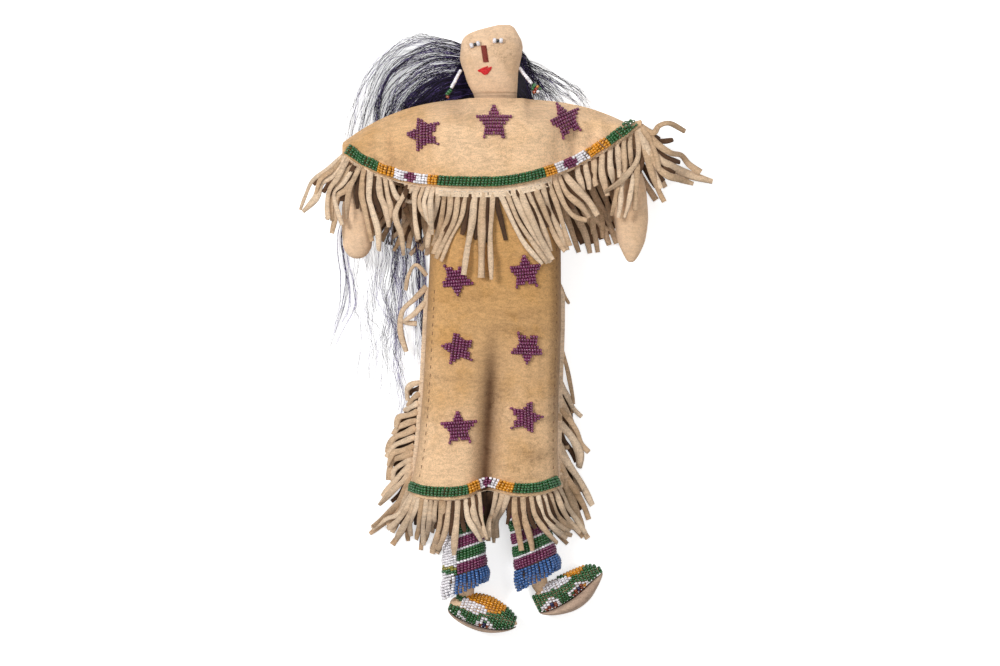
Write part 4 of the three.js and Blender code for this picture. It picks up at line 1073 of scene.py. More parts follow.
# How high strips lie over each other, in turn, and the thickness of the hair that lies under the right side
FRONT_LAYERS = (0.5, 1.7, 1.0, 2.2)
BACK_LAYERS = (0.4, 0.9, 0.65)
HEM_LAYERS = (0.4, 1.3, 0.85, 1.7)
SIDE_LAYERS = (0.3, 1.3, 2.3, 0.8)
HAIR_BED = 2.75
# Each strip: width against the usual one, then places on the ground plan from its root to its tip
CENTRE_STRIPS = rows_of(
    (1.0, -28, 74, -30.5, 63, -33, 53, -34.5, 45), (1.0, -24.8, 74, -26, 63, -28.5, 54, -31.5, 46),
    (1.1, -21.4, 74, -22.6, 63, -26, 53, -31, 41.5), (1.0, -17.4, 74, -19.4, 61, -24, 50, -29.4, 39),
    (0.9, -13.4, 74, -15.8, 62, -21, 51, -26.6, 37.5), (1.3, -8.2, 74.5, -9.8, 60, -11.6, 48, -14, 30),
    (1.5, -3.4, 75, -4.6, 58, -5, 45, -4.6, 28.5), (1.0, 1.6, 75, 0.7, 58, 0.4, 45, 0.5, 27.5),
    (1.0, 5.2, 75.4, 11, 62, 19, 47.5, 28.4, 36), (0.9, 8.8, 75.8, 15, 61, 23.6, 47.6, 31, 36.4),
    (1.1, 12.4, 76.2, 17.6, 63, 26, 48.4, 33.4, 37), (1.3, 16.4, 76.8, 20.6, 65, 27.4, 50.6, 34.6, 38.4),
    (1.1, 20.2, 77.4, 24.8, 66.4, 29.4, 54, 33.2, 43), (1.1, 24.4, 78.2, 29.2, 66, 35, 53, 41, 43),
    (1.1, 28.4, 79.4, 32, 67.4, 38, 55, 42.6, 43.8), (1.0, 32, 80.6, 35.8, 70, 40, 58, 44, 46),
)
RIGHT_STRIPS = rows_of(
    (0.8, -80, 94.6, -89, 88.4, -97.4, 82, -101, 74, -104, 66),
    (0.9, -79.4, 92.8, -86, 88, -93, 83, -95.4, 76, -96.6, 71),
    (1.3, -79, 91, -85.6, 85, -92.4, 80.4, -95.6, 72.4, -103, 65),
    (1.0, -77.6, 90.4, -83.4, 84, -88, 77, -89, 68, -88.4, 60.6),
    (0.9, -75.4, 89, -80.8, 83.2, -86, 77, -86.8, 67, -86.4, 60),
    (0.9, -73.6, 87.4, -80.6, 80.6, -85.4, 75.4, -83.6, 66, -81, 57.6),
    (1.1, -71.6, 85.8, -78.2, 78, -84.2, 73, -84.2, 64, -86.6, 53), (1.1, -71, 84.8, -76.4, 78, -78, 70, -78.4, 61),
    (1.1, -69, 83.6, -70.6, 75, -69, 66, -66.2, 54.6, -64.6, 48.6),
    (1.2, -65.6, 82.4, -66.4, 74, -64.4, 66, -61.6, 55, -61.6, 43.6),
    (1.5, -61.8, 81, -59.8, 73, -57.2, 66, -56, 56.4), (1.0, -57.8, 79.6, -55.8, 74, -54.6, 68, -54.4, 61.4),
    (1.0, -55, 79.2, -51.2, 73, -46, 71, -40.6, 70.2),
    (1.1, -43.4, 77.6, -50.4, 67.4, -51.6, 61, -48.8, 52, -47.4, 41),
    (0.9, -46.4, 78, -44, 76, -42.4, 77.4, -40.4, 78), (1.0, -38.4, 77.6, -41.4, 74, -41.2, 66, -40.2, 57, -39, 49.4),
    (1.0, -35.8, 77.2, -38, 72, -37.6, 66, -34.4, 60), (1.0, -33.2, 77, -35.6, 71, -34.8, 65, -33, 57.6),
    (1.1, -30.6, 76.8, -32.4, 70, -32.2, 62, -31.2, 52),
)
LEFT_STRIPS = rows_of(
    (1.4, 39.6, 84.6, 47.6, 77, 54.6, 70, 59, 62.6), (1.2, 36.8, 83.4, 42, 75.2, 49, 68, 54, 61.4),
    (1.0, 34.6, 82.4, 39.6, 70.4, 46, 62.4, 53, 60), (1.2, 48, 88.6, 48.8, 84, 50.8, 76.6),
    (1.1, 52.4, 90.4, 53.4, 84, 54.6, 77), (1.1, 57, 92.6, 57, 86, 58.4, 79),
    (1.3, 61.8, 95, 61.4, 87, 62.4, 80, 64.6, 73.6), (1.2, 66, 97.2, 66.4, 89, 67.6, 80.6),
    (1.1, 70, 99.4, 70.4, 92, 71.6, 83.6), (1.0, 73.8, 101.4, 73.4, 94, 74, 86), (1.0, 77.2, 103.2, 77, 97, 77.6, 90),
    (1.0, 79.4, 90, 78, 79, 75.8, 70, 73.4, 61.6), (1.0, 73.4, 86, 72, 76, 71.2, 69, 70.4, 61.6),
    (0.9, 71, 82, 69.4, 74, 68.4, 69, 66.4, 62.6), (1.1, 80.8, 94, 80.4, 84, 80.2, 75, 80, 65.6),
    (1.1, 80.6, 105, 81.4, 95, 77, 87, 70, 80, 62.4, 75.4), (1.5, 82, 106.6, 86.4, 97, 90, 86, 93.4, 77.4),
    (1.0, 82.2, 107.6, 88.4, 103, 91.6, 95, 92.8, 87),
    (1.1, 82.4, 108.6, 89, 108, 92.6, 112, 99, 113.4, 107.6, 109.4),
    (1.2, 82, 107, 92, 101.6, 99, 97, 105.4, 96, 110, 91, 116, 86.6),
    (1.6, 82, 105.6, 91, 96, 100, 90, 108, 86.4, 122.4, 82), (1.3, 82, 104.6, 90.6, 92, 97, 85, 104, 83, 112, 80.6),
    (1.2, 81.6, 103.6, 88, 88, 92, 78, 96, 70.4),
)


def over_skirt(layer):
    def height(x, y, t):
        reach = skirt_half(y) * 0.84
        near_x = clamp(x, skirt_middle(y) - reach, skirt_middle(y) + reach)
        rest = skirt_front_z(near_x, y) + 1.3 + 1.9 * smooth((47 - y) / 9) + layer
        return mix(header_z(x), rest, smooth(2.2 * t))
    return height


def over_arm(root_z, layer):
    """Level over the arm's sweep, falling where no arm can reach."""
    def height(x, y, t):
        droop = 12 * smooth((abs(x) - 97) / 14) + 6 * smooth((46 - y) / 8)
        return root_z + layer * smooth(4 * t) + 0.7 * smooth(3 * t) - droop
    return height


def hang_front(name, node_name, strips, low, high, seed, centre):
    lines, under = [], []
    for i, (width, points) in enumerate(strips):
        layer = FRONT_LAYERS[i % 4]
        if not centre and points[0][1] > yoke_edge_y(points[0][0]) - 8:
            points = [(points[0][0], yoke_edge_y(points[0][0]) + 0.4)] + points[1:]
        height = over_skirt(layer) if centre else over_arm(header_z(points[0][0]), layer)
        lines.append(strip_line(points, height, seed + i, width, 0.75))
        if i + 1 < len(strips) and abs(strips[i + 1][1][0][0] - points[0][0]) < 6:
            height = over_skirt(0.0) if centre else over_arm(header_z(points[0][0]), 0.0)
            under.append(strip_line(filler(points, strips[i + 1][1], 0.6), height, seed + 50 + i, 1.1, 0.2))
    face = yoke_header_face(low, high, yoke_front_at, -(HIDE + SEAT), 5.0 if centre else 0.8, 3.0)
    hang(name, node_name, FRINGE_HIDE, (2.8, lines), (2.4, under), face, seed)


hang_front("yoke_fringe_strips", "yoke_fringe_front", CENTRE_STRIPS, -29.8, 34, 100, True)
hang_front("right_sleeve_strips", "sleeve_fringe_right", RIGHT_STRIPS, -80.4, -30.6, 240, False)
hang_front("left_sleeve_strips", "sleeve_fringe_left", LEFT_STRIPS, 34.4, 82.4, 380, False)


def back_strips(low, high, count, start, end, length, seed):
    """Evenly spaced strips of the yoke back, fanning a little."""
    chance = random.Random(seed)
    strips = []
    for i in range(count):
        t = (i + 0.5) / count
        x = mix(low, high, t)
        angle = radians(mix(start, end, t) + chance.uniform(-5, 5))
        bend, reach = chance.uniform(-0.16, 0.16), length * chance.uniform(0.9, 1.1)
        ways = [(angle + bend * k, reach * k / 3) for k in (1, 2, 3)]
        root = yoke_edge_y(x) - 2
        places = [(x + sin(way) * far, root - cos(way) * far) for way, far in ways]
        strips.append((1.0, [(x, root)] + places))
    return strips


LEFT_BACK_STRIPS = rows_of(
    (1.2, 36, 82, 40, 68, 45, 55, 49.5, 43), (1.3, 40, 84, 46, 67, 52, 54, 55.5, 42.5),
    (1.2, 44, 85, 51, 68, 57, 56, 60, 43), (1.3, 48, 87, 55, 71, 61, 59, 66, 47),
    (1.2, 52, 89, 58, 74, 65, 62, 70.5, 48), (1.1, 56, 91, 61, 78, 67, 66, 72.5, 54),
    (1.1, 60, 93, 64, 82, 69, 71, 73, 60), (1.1, 64, 95, 67, 86, 71, 76, 74, 66),
    (1.1, 68, 97, 71, 88, 75, 78, 78, 68), (1.1, 72, 99, 76, 90, 80, 80, 82, 71),
    (1.1, 75, 101, 80, 92, 86, 82, 92, 72), (1.1, 78, 103, 85, 96, 92, 88, 97, 79),
    (1.0, 80, 105, 88, 100, 98, 95, 104, 87), (1.1, 38, 83, 47, 72, 57, 62, 66, 55),
    (1.1, 46, 86, 52, 76, 56, 64, 57, 53), (1.1, 54, 90, 56, 78, 61, 66, 62, 51),
    (1.0, 62, 94, 63, 84, 64, 74, 67, 60), (1.0, 66, 96, 72, 84, 79, 76, 85, 70),
    (1.0, 74, 100, 77, 88, 79, 78, 80, 70),
)


def hang_back(name, node_name, low, high, strips, floor, seed, show):
    """The fringe of the yoke back, lying on the floor behind the doll."""
    lines, under = [], []
    for i, (width, points) in enumerate(strips):
        x = points[0][0]
        root = below_edge(yoke_back_at, x) + up(HIDE + SEAT + STRIP / 2)

        def height(px, py, s, z=root.z, lift=BACK_LAYERS[i % 3] + (0.9 if i > 12 else 0)):
            return mix(z, floor + SEAT + STRIP / 2 + 0.35 + lift, smooth(1.5 * s))

        def below(px, py, s, z=root.z):
            return mix(z, floor + SEAT + STRIP / 2 + 0.1, smooth(1.5 * s))

        lines.append(strip_line(points, height, seed + i, width, 0.1))
        if i + 1 < len(strips) and 0 < strips[i + 1][1][0][0] - x < 6:
            under.append(strip_line(filler(points, strips[i + 1][1], 0.84), below, seed + 60 + i, 1.2, 0.1))
    face = yoke_header_face(low, high, yoke_back_at, HIDE + SEAT + STRIP, show, 2.0)
    hang(name, node_name, BACK_HIDE, (2.9, lines), (2.7, under), face, seed)


MIDDLE_BACK_STRIPS = back_strips(-29, 31, 14, -8, 8, 36, 520)
RIGHT_BACK_STRIPS = back_strips(-79, -33, 15, -28, 4, 34, 540) + back_strips(-74, -36, 8, 12, -16, 30, 541)
hang_back("yoke_back_strips", "yoke_fringe_back", -29, 31, MIDDLE_BACK_STRIPS, 0.0, 520, 3.0)
hang_back("right_sleeve_back_strips", "sleeve_back_fringe_right", -79, -33, RIGHT_BACK_STRIPS, HAIR_BED, 540, 6.0)
hang_back("left_sleeve_back_strips", "sleeve_back_fringe_left", 34, 81, LEFT_BACK_STRIPS, 0.0, 560, 8.0)


# Legs: hip, ankle, moccasin turn, skin under the cuff, slant of the bead lanes, foot, shift and radius of the beads
class Leg:
    def __init__(self, name, hip, ankle, turn, show, slant, profile, shift, girth):
        self.name = name
        self.hip = Vector(hip)
        self.ankle = Vector(ankle)
        self.down = (self.ankle - self.hip).normalized()
        self.side = Vector((-self.down.y, self.down.x))
        self.length = (self.ankle - self.hip).length
        self.turn = radians(turn)
        self.cuff_top = self.length - 10 - show
        self.slope = tan(radians(slant))
        self.profile = profile
        self.shift = shift
        self.girth = girth

    def at(self, reach, off, high):
        p = self.hip + self.down * reach + self.side * off
        return Vector((p.x, p.y, LEG_Z + high))

    def ring(self, reach, radius, sides, drop=0.0):
        turns = [2 * pi * i / sides for i in range(sides)]
        return [self.at(reach, radius * cos(a), -drop - radius * sin(a)) for a in turns]

    def round(self, reach):
        return self.girth - 0.9 * (1 - smooth((reach - 106) / 16))

    def foot(self, x, y, z):
        c, s = cos(self.turn), sin(self.turn)
        return Vector((self.ankle.x + x * c - y * s, self.ankle.y + x * s + y * c, FOOT_Z + z))


# Each station of a foot: reach, top, seam, sole, share of the depth
LEFT_FOOT = [
    (-7, -6, -12, -13, 0.36), (-5.6, -3.6, -13.6, -15.2, 0.6), (0, -1.2, -14.6, -18.4, 0.84),
    (8, -0.6, -14.4, -20.6, 1), (15, -0.8, -13.4, -20.8, 0.98), (22, -1, -11.6, -18.8, 0.84),
    (28, -1.8, -9.8, -15, 0.62), (32, -3.8, -9, -11.8, 0.4), (34, -6.6, -8.6, -9.6, 0.22),
]
RIGHT_FOOT = [
    (-6.6, -6, -10.6, -11.6, 0.36), (-5, -3.6, -12.2, -13.6, 0.6), (0, -1, -13.8, -15.8, 0.84),
    (7, 1.6, -14.6, -17, 1), (14, 2.4, -14.6, -17, 1), (20, 1.2, -13.6, -15.8, 0.94), (26, -0.9, -11.6, -13.2, 0.8),
    (30, -3.2, -9.4, -10.6, 0.58), (32.2, -5.4, -7.4, -8.4, 0.3),
]
LEGS = [
    Leg("left", (5.5, -8.35), (27.5, -140.8), 26, 3, 12.6, LEFT_FOOT, 0.0, 11.4),
    Leg("right", (-18, -8.35), (-13.2, -145.2), -20, 1.8, 15, RIGHT_FOOT, -0.3, 11.5),
]


def legging_z(x, y):
    tops = []
    for leg in LEGS:
        t = (leg.hip.y - y) / (leg.hip.y - leg.ankle.y)
        off = max(abs(x - mix(leg.hip.x, leg.ankle.x, t)) - LEGGING_FLAT, 0)
        tops.append(LEG_Z + sqrt(LEGGING_RADIUS**2 - off * off) if off < LEGGING_RADIUS else 0)
    return max(tops)


HEM_STRIPS = rows_of(
    (1.0, -43, -91, -50, -101, -57, -104.4, -65, -110), (1.2, -42, -92, -48.4, -102, -52.6, -107, -57, -110),
    (1.3, -40, -93, -44.6, -103, -48.6, -110, -52.4, -116), (1.0, -38.4, -93.4, -42.4, -102, -44, -108, -44, -114),
    (1.0, -37, -93.6, -39, -103, -39.4, -110, -41, -116), (1.0, -34.6, -94, -36.4, -104, -36.6, -111, -37, -119),
    (1.0, -32, -94.2, -33.4, -104, -34.4, -111, -36, -116), (1.0, -29.4, -94.2, -30.8, -103, -31.4, -107, -32, -112),
    (1.4, -26, -94.4, -27, -105, -28.8, -114, -31.4, -121),
    (1.1, -22.2, -94.4, -23.4, -105, -25.8, -114, -28.6, -121),
    (1.3, -17.6, -94.4, -18, -105, -19.4, -115, -20, -123.6), (1.2, -13.4, -94, -12, -102.6, -8.6, -110, -5, -116),
    (1.2, -10, -92.6, -9, -101, -6, -109, -3.6, -114), (1.0, -6.4, -91, -4.8, -101, -3.6, -109, -2, -115),
    (1.0, 3.6, -90.4, 1.4, -100, -0.6, -107, -0.6, -114), (1.0, 7, -91.4, 4, -99.6, 1.6, -106.6, 2, -115),
    (1.1, 10.2, -92, 6.6, -99, 3.8, -106, 4.2, -115), (1.3, 13.6, -92.4, 13.8, -102, 15.4, -111, 17.6, -121),
    (1.3, 18, -92.6, 19, -102, 20.8, -111, 23, -121), (1.1, 22.4, -92.6, 25, -101.6, 30.6, -110, 37, -117),
    (1.1, 26, -92.2, 29, -101.4, 35, -108.6, 42, -115.6), (1.0, 29.2, -91.6, 33, -101, 38.6, -108, 44, -111),
    (1.0, 32.4, -90.6, 36.4, -100, 41.8, -107, 48, -111), (1.1, 35.4, -89.4, 39.8, -98.6, 44, -105, 50, -112),
    (1.1, 37.6, -88.4, 42.6, -97, 47.6, -104, 53, -112.6),
)


def hem_fringe(name, node_name, front, seed):
    def face(u, v):
        x = skirt_middle(SKIRT_HEM_Y) + skirt_half(SKIRT_HEM_Y) * mix(-0.96, 0.96, u)
        if front:
            y = hem_y(x) + mix(-1.4, 2.4, v)
            return Vector((x, y, skirt_front_z(x, y) - HIDE - SEAT))
        y = SKIRT_HEM_Y + mix(-3.0, -0.4, v)
        return Vector((x, y, skirt_back_z(x, y) + STRIP))

    lines, under = [], []
    for i, (width, points) in enumerate(HEM_STRIPS):
        x = points[0][0]
        y = hem_y(x) - 0.4 if front else points[0][1]
        points = [(x, y)] + points[1:]
        root_z = skirt_front_z(x, y) - HIDE - SEAT - STRIP / 2 if front else skirt_back_z(x, y) + STRIP / 2

        def height(px, py, t, z=root_z, lift=HEM_LAYERS[i % 4]):
            low = mix(z, SEAT + STRIP / 2, smooth(0.85 * t if front else 2 * t))
            rise = lift * smooth(3 * t)
            return max(low + rise, legging_z(px, py) + 1.1 + rise * 0.6) if front else low + 0.1

        if front:
            lines.append(strip_line(points, height, seed + i, width, 0.6))
            if i + 1 < len(HEM_STRIPS) and i != 13:
                def below(px, py, t, z=root_z):
                    return max(mix(z, 1.0, smooth(0.85 * t)), legging_z(px, py) + 0.9)

                under.append(strip_line(filler(points, HEM_STRIPS[i + 1][1], 0.6), below, seed + 40 + i, 1.0, 0.2))
        elif i % 3 != 1:
            longer = [(px * 1.03, py - 3) for px, py in points]
            lines.append(strip_line(longer, height, seed + i, width, 0.05, 0.08))
    if front:
        # Five short strips of painted shade, sunk in the hollow between the legs.
        for k in range(5):
            x = -5.4 + 2.4 * k

            def sunk(px, py, t, z=skirt_front_z(x, SKIRT_HEM_Y + 2) - 2.6):
                return mix(z, 3.0, smooth(t))

            places = [(x, SKIRT_HEM_Y + 1), (x * 0.8, -100), (x * 0.5 - 0.6, -113.5)]
            under.append(strip_line(places, sunk, seed + 90 + k, 1.15, 0.3))
    hang(name, node_name, FRINGE_HIDE if front else BACK_HIDE, (2.7, lines), (2.3, under), face, seed)


hem_fringe("hem_strips", "hem_fringe_front", True, 600)
hem_fringe("hem_back_strips", "hem_fringe_back", False, 700)

RIGHT_SIDE = rows_of(
    (0.8, -35, 30, -41, 36, -45, 30, -47, 22), (1.1, -35, 24, -42, 17, -48.4, 10, -49.4, -2, -46.8, -12),
    (1.0, -35.4, 16, -42, 9, -47, 4.6, -40.4, 3.6), (1.2, -38, -29, -43, -30, -46.4, -33, -45.6, -39),
    (1.1, -39, -35, -42.4, -37.6, -45, -42.4), (1.1, -39.6, -40, -43.6, -42.6, -47, -45),
    (1.2, -40, -45, -45, -47, -50.4, -48.4, -52.6, -54), (1.2, -40.6, -50, -46, -51.4, -51, -54, -53, -58),
    (1.3, -41, -54, -47, -57, -53.4, -60.4, -57, -68), (1.1, -41.4, -59, -47.6, -61.4, -52.6, -64, -57, -70.6),
    (1.2, -42, -64, -48.6, -66.6, -54, -68.4, -57, -75), (1.2, -42.4, -67.6, -48.6, -70, -54, -73, -55.8, -83),
    (1.1, -42.8, -71.4, -48, -73.6, -53, -78, -54, -84), (1.2, -43.2, -74, -48, -78.4, -53.4, -85, -60, -92),
    (1.2, -43.6, -77, -48, -83.6, -54, -89.4, -61.4, -97),
    (1.3, -44, -80, -46.8, -88, -50.4, -96, -58, -103, -65, -109),
    (1.2, -44.2, -84, -47, -92.6, -52, -100, -57.4, -108), (1.1, -44.4, -87, -48, -96, -50.4, -104, -54.4, -112),
)
LEFT_SIDE = rows_of(
    (0.6, 38, 26, 41.6, 19, 43.6, 14.6), (0.8, 38.6, -6, 42.2, -19, 44.4, -32, 46.4, -41),
    (1.0, 37.4, -24, 41, -34, 46, -43, 51, -48), (0.9, 38.4, -28, 43, -37, 46, -46),
    (1.1, 38.4, -36, 43.4, -47, 46, -57, 48, -62), (1.0, 37.8, -46, 39.4, -56, 43, -66),
    (1.0, 38.6, -43, 47.4, -55, 51, -63, 54.6, -67.6), (1.7, 38.6, -52, 46, -60, 49, -68, 48.6, -76),
    (1.0, 38.4, -62, 42, -71, 46, -79, 50, -90), (1.4, 38.6, -68, 44.4, -76, 50.4, -84, 57, -97),
    (1.1, 39, -73, 43, -84, 46.4, -94, 50, -104), (1.0, 39, -77, 40.6, -89, 43.6, -100),
    (1.2, 39.2, -76, 46, -87.6, 52, -98, 55, -105), (1.2, 39.4, -80, 44, -92, 48, -102, 51.4, -110),
)


def side_fringe(name, node_name, strips, side, floor, seed):
    lines, under = [], []
    for i, (width, points) in enumerate(strips):
        def height(x, y, t, lift=SIDE_LAYERS[i % 4]):
            return mix(SEAM_Z, floor + 1.0 + lift, smooth(1.2 * t)) + 1.8 * sin(pi * t)

        def below(x, y, t):
            return mix(SEAM_Z - 0.6, floor + 0.9, smooth(1.6 * t))

        lines.append(strip_line(points, height, seed + i, width, 0.8))
        if i > 2 and i + 1 < len(strips):
            under.append(strip_line(filler(points, strips[i + 1][1], 0.66), below, seed + 40 + i, 1.1, 0.2))

    def face(u, v):
        y = mix(SKIRT_HEM_Y + 3, 86, u if side > 0 else 1 - u)
        out = mix(mix(2.2, -0.3, smooth((y - 19) / 6)), -3.0, v)
        return Vector((skirt_middle(y) + side * (skirt_half(y) + out), y, SEAM_Z + STRIP / 2))

    hang(name, node_name, FRINGE_HIDE, (2.8, lines), (2.4, under), face, seed)


side_fringe("right_side_strips", "side_fringe_right", RIGHT_SIDE, -1, HAIR_BED, 760)
side_fringe("left_side_strips", "side_fringe_left", LEFT_SIDE, 1, 0.0, 840)


# Stitches
def running_stitch(name, places, material, radius, length, gap, high):
    """Short threads that follow a line of places over the hide."""
    lines, travelled, open_line = [], 0.0, []
    for a, b in zip(places, places[1:]):
        travelled += (b - a).length
        if travelled % (length + gap) < length:
            open_line.append((b.x, b.y, b.z + high, 1.0, 0.0))
        else:
            if len(open_line) > 2:
                lines.append(open_line)
            open_line = []
    settle(sewn_threads(name, lines, material, radius), "torso")


def side_seam(top, share):
    heights = [mix(top, -84, i / 599) for i in range(600)]
    return [skirt_front(skirt_middle(y) + share * skirt_half(y), y) for y in heights]


seam_line = [below_edge(yoke_front_at, mix(-28, 32, i / 499)) - up(HIDE + SEAT) for i in range(500)]
running_stitch("fringe_seam_thread", seam_line, WHITE_THREAD, 0.28, 2.6, 1.5, 0.1)
running_stitch("right_side_seam_thread", side_seam(22, -0.9), DARK_THREAD, 0.24, 2.0, 2.6, 0.06)
running_stitch("left_side_seam_thread", side_seam(60, 0.93), DARK_THREAD, 0.24, 1.6, 3.4, 0.06)

# Stuffed body
torso = stuffed("torso_bag", [
    (-6.2, -7.6, 15.4, 25.6, 10.2), (-6.2, -2, 16.4, 27.6, 11.2), (-3, 22, 19.4, 26.6, 13),
    (0, 55, TORSO_MID, 29.6, 15.1), (0, 86, TORSO_MID, 29.6, 15.1), (0, 102, 18.9, 32, 12.4), (0, 110, 17.4, 30, 9.4),
    (1, 116.6, NECK_Z, 22, 4.6),
], 36, 0.92, 0.1)
settle(torso, "torso", ["torso_cover", "torso_stuffing"])

HEAD_ROWS = [
    (110.5, 1.4, 5.4, NECK_Z, 2.4), (113, -4.6, 11.4, NECK_Z, 5.2), (120, -7.6, 14.4, NECK_Z, 6.9),
    (128.7, -8.8, 14.9, NECK_Z + 0.2, 7.2), (135.3, -12.1, 15.2, 14.9, 8.9), (141.9, -14.4, 15.5, HEAD_Z, 10.6),
    (148.5, -16.5, 17, HEAD_Z, 11.4), (155.1, -16.1, 18.1, HEAD_Z, 10.8), (159.4, -15.5, 17.4, HEAD_Z, 9.4),
    (162.4, -12.9, 15.9, HEAD_Z, 7.2), (164.8, -8, 14.6, HEAD_Z, 4.9), (166.8, -1, 13.2, HEAD_Z, 2.8),
    (168.2, 5, 11, HEAD_Z, 0.9),
]
NECK_CREASES = ((130.2, 0.7), (128.6, 0.6), (127.2, 0.5))


def head_section(t):
    y, left, right, z, thick = catmull(HEAD_ROWS, t)
    for crease, depth in NECK_CREASES:
        thick -= depth * bell(y - crease, 0.55)
    return y, left, right, z, thick


def head_front(x, y):
    """The front of the head above a place."""
    _, left, right, z, thick = head_section(share_where(HEAD_ROWS, y, 24))
    off = min(abs(x - (left + right) / 2) / ((right - left) / 2), 1)
    return Vector((x, y, z + thick * (1 - off**2.5) ** (1 / 2.5)))


head_rings, head_shade = [], []
for i in range(141):
    y, left, right, z, thick = head_section(i / 140)
    middle = ((left + right) / 2, y, z)
    head_rings.append(lumpy(oval(middle, (0, 1, 0), (right - left) / 2, thick, 56, 0.8), middle, 0.22, 9, 3))
    for p in head_rings[-1]:
        # Painted shade: a soft band at the neck, a dark line in each neck crease and darker sides of the head.
        neck = 0.25 * bell(p.y - 128.5, 3.2)
        neck += sum(0.4 * bell(p.y - crease - 0.02 * p.x, 0.4) for crease, _ in NECK_CREASES)
        head_shade.append(neck + 0.16 * smooth((abs(p.x - 1) - 13.5) / 4) + spots(p.x, p.y, HEAD_STAINS))
head = rings_mesh("head_bag", head_rings, BODY_HIDE, {"crease": head_shade + [0, 0]})
settle(head, "head", ["head_cover", "head_stuffing"])

# Face: eyes of three beads, nose and mouth of satin stitches
EYES = {
    "right": [(-9.75, 155.9), (-8.0, 156.4), (-6.25, 156.9)],
    "left": [(2.55, 158.35), (4.3, 158.25), (6.05, 158.35)],
}
for side, places in EYES.items():
    eye = Beads(60)
    way = Vector((places[2][0] - places[0][0], places[2][1] - places[0][1])).normalized()
    for (x, y), colour, size in zip(places, (WHITE, BLACK, WHITE), (1.55, 1.05, 1.55)):
        eye.put(lying(head_front, x, y, 0.95), (way.x, way.y, 0), colour, size)
    eye.sew(f"{side}_eye", "head", "beads_white", [f"eye_beads_{side}"])


def satin(name, stitches, material, radius, node_name):
    """Threads laid side by side over the face, each from one place to another."""
    lines = []
    for ax, ay, bx, by in stitches:
        lines.append([])
        for t in (i / 8 for i in range(9)):
            high = sin(pi * t)
            p = lying(head_front, mix(ax, bx, t), mix(ay, by, t), 0.12 + 0.28 * high)
            lines[-1].append((*p, 0.75 + 0.25 * high, 0.0))
    settle(sewn_threads(name, lines, material, radius, 8), "head", [node_name])


nose_rows = []
for i in range(15):
    t = i / 14
    x, y = mix(-3.5, -2.2, t), mix(155.8, 147.2, t)
    nose_rows.append((x - 1.5, y - 0.12, x + 1.5, y + 0.1))
satin("nose_threads", nose_rows, BROWN_THREAD, 0.34, "nose_stitch")
mouth_rows = [
    (-6.6, 142.3, -3.0, 144.0), (-6.4, 142.0, -1.2, 144.6), (-6.0, 141.8, 1.0, 144.3), (-5.6, 141.7, 0.9, 143.7),
    (-5.0, 141.5, 0.7, 143.2), (-4.6, 141.2, 0.3, 142.6), (-4.2, 140.9, -0.2, 142.0), (-3.8, 140.6, -0.6, 141.4),
    (-3.4, 140.3, -1.1, 140.9),
]
satin("mouth_threads", mouth_rows, RED_THREAD, 0.42, "mouth_stitch")

# Earrings, a white strand and a drop of coloured beads: start, direction, colours, spread and step of the drop
EARRINGS = {
    "left": ((15.9, 144.7, 16.4), (0.5995, -0.77985, 0.18),
             [GREEN, GREEN, GREEN, YELLOW, RED, RUST, GREEN, WHITE], 1.5, 0.62),
    "right": ((-15.95, 143.5, 16.4), (-0.4562, -0.87303, 0.172), [GREEN, GREEN, GREEN, RUST], 0.5, 1.35),
}
EARRING_BEADS = 9
EARRING_STEP = 1.3
DROP_START = 13.2
for side, (start, way, drops, spread_out, step) in EARRINGS.items():
    way = Vector(way).normalized()
    aside = way.cross(up(1)).normalized()
    chain = Beads(70)
    for i in range(EARRING_BEADS):
        chain.put(Vector(start) + way * (0.9 + EARRING_STEP * i), way, WHITE, 1.06)
    chain.sew(f"{side}_earring_strand", f"earring_{side}", "beads_white", [f"earring_strand_{side}"])
    drop = Beads(74)
    for i, colour in enumerate(drops):
        off = aside * spread_out * ((i % 3) - 1) * (0.5 + 0.12 * i)
        lift = up(0.5 * ((i * 2) % 3))
        drop.put(Vector(start) + way * (DROP_START + step * i) + off + lift, way, colour, 1.12)
    drop.sew(f"{side}_earring_drop", f"earring_{side}", "beads_green", [f"earring_drop_{side}"])

# Arms: shoulder, side, reach out, tip, half width of the hand, then its shares of that width near the tip
ARMS = {
    "left": (37, 107, 1, 39.5, 37.4, 9.4, ((15, 0.9), (9, 0.7), (5, 0.5), (2.4, 0.34), (0.8, 0.22), (0, 0.1))),
    "right": (-36, 107, -1, 36, 39.4, 8.4, ((9, 0.97), (5, 0.86), (2.4, 0.66), (0.8, 0.42), (0, 0.16))),
}
for side, (ax, ay, way, out, tip, hand, ends) in ARMS.items():
    end_x = ax + way * 1.03 * out
    stations = [
        (ax - way * 7, ay + 1, ARM_MID, 2, 2), (ax - way * 4.6, ay + 0.7, ARM_MID, 5.6, 5.6),
        (ax, ay, ARM_MID, 7.6, 7.6), (ax + way * 0.5 * out, ay - 3.5, ARM_MID, 6.9, 6.6),
        (ax + way * 0.86 * out, ay - 12, ARM_MID, 6.0, 5.6), (ax + way * out, ay - 26, ARM_MID, hand * 0.9, 5.7),
        (end_x, ay - 44, ARM_MID, hand, 6.5),
    ]
    stations += [(end_x, tip + far, ARM_MID, hand * share, 6.4 * share**0.8) for far, share in ends]
    arm = stuffed(f"{side}_arm", stations, 80, 0.9, 0.35, ax)
    settle(arm, f"arm_{side}", [f"arm_cover_{side}", f"arm_stuffing_{side}"])

# Legs, leggings and moccasins
LANE_STEP = 1.42
LANE_SLIP = 12.2
LEGGING_TOP = 80
CUFF_ROWS = 7
FOOT_DEPTHS = {"upper": 10, "sole": 11}
# The white side panel of the right legging: each colour and the y that it goes down to
WHITE_PANEL = [(WHITE, -130), (OLIVE, -132), (GREEN, -134.2), (WHITE, -200)]
LANES = [(PLUM, 4), (WHITE, 1), (GREEN, 4), (WHITE, 1)] * 4


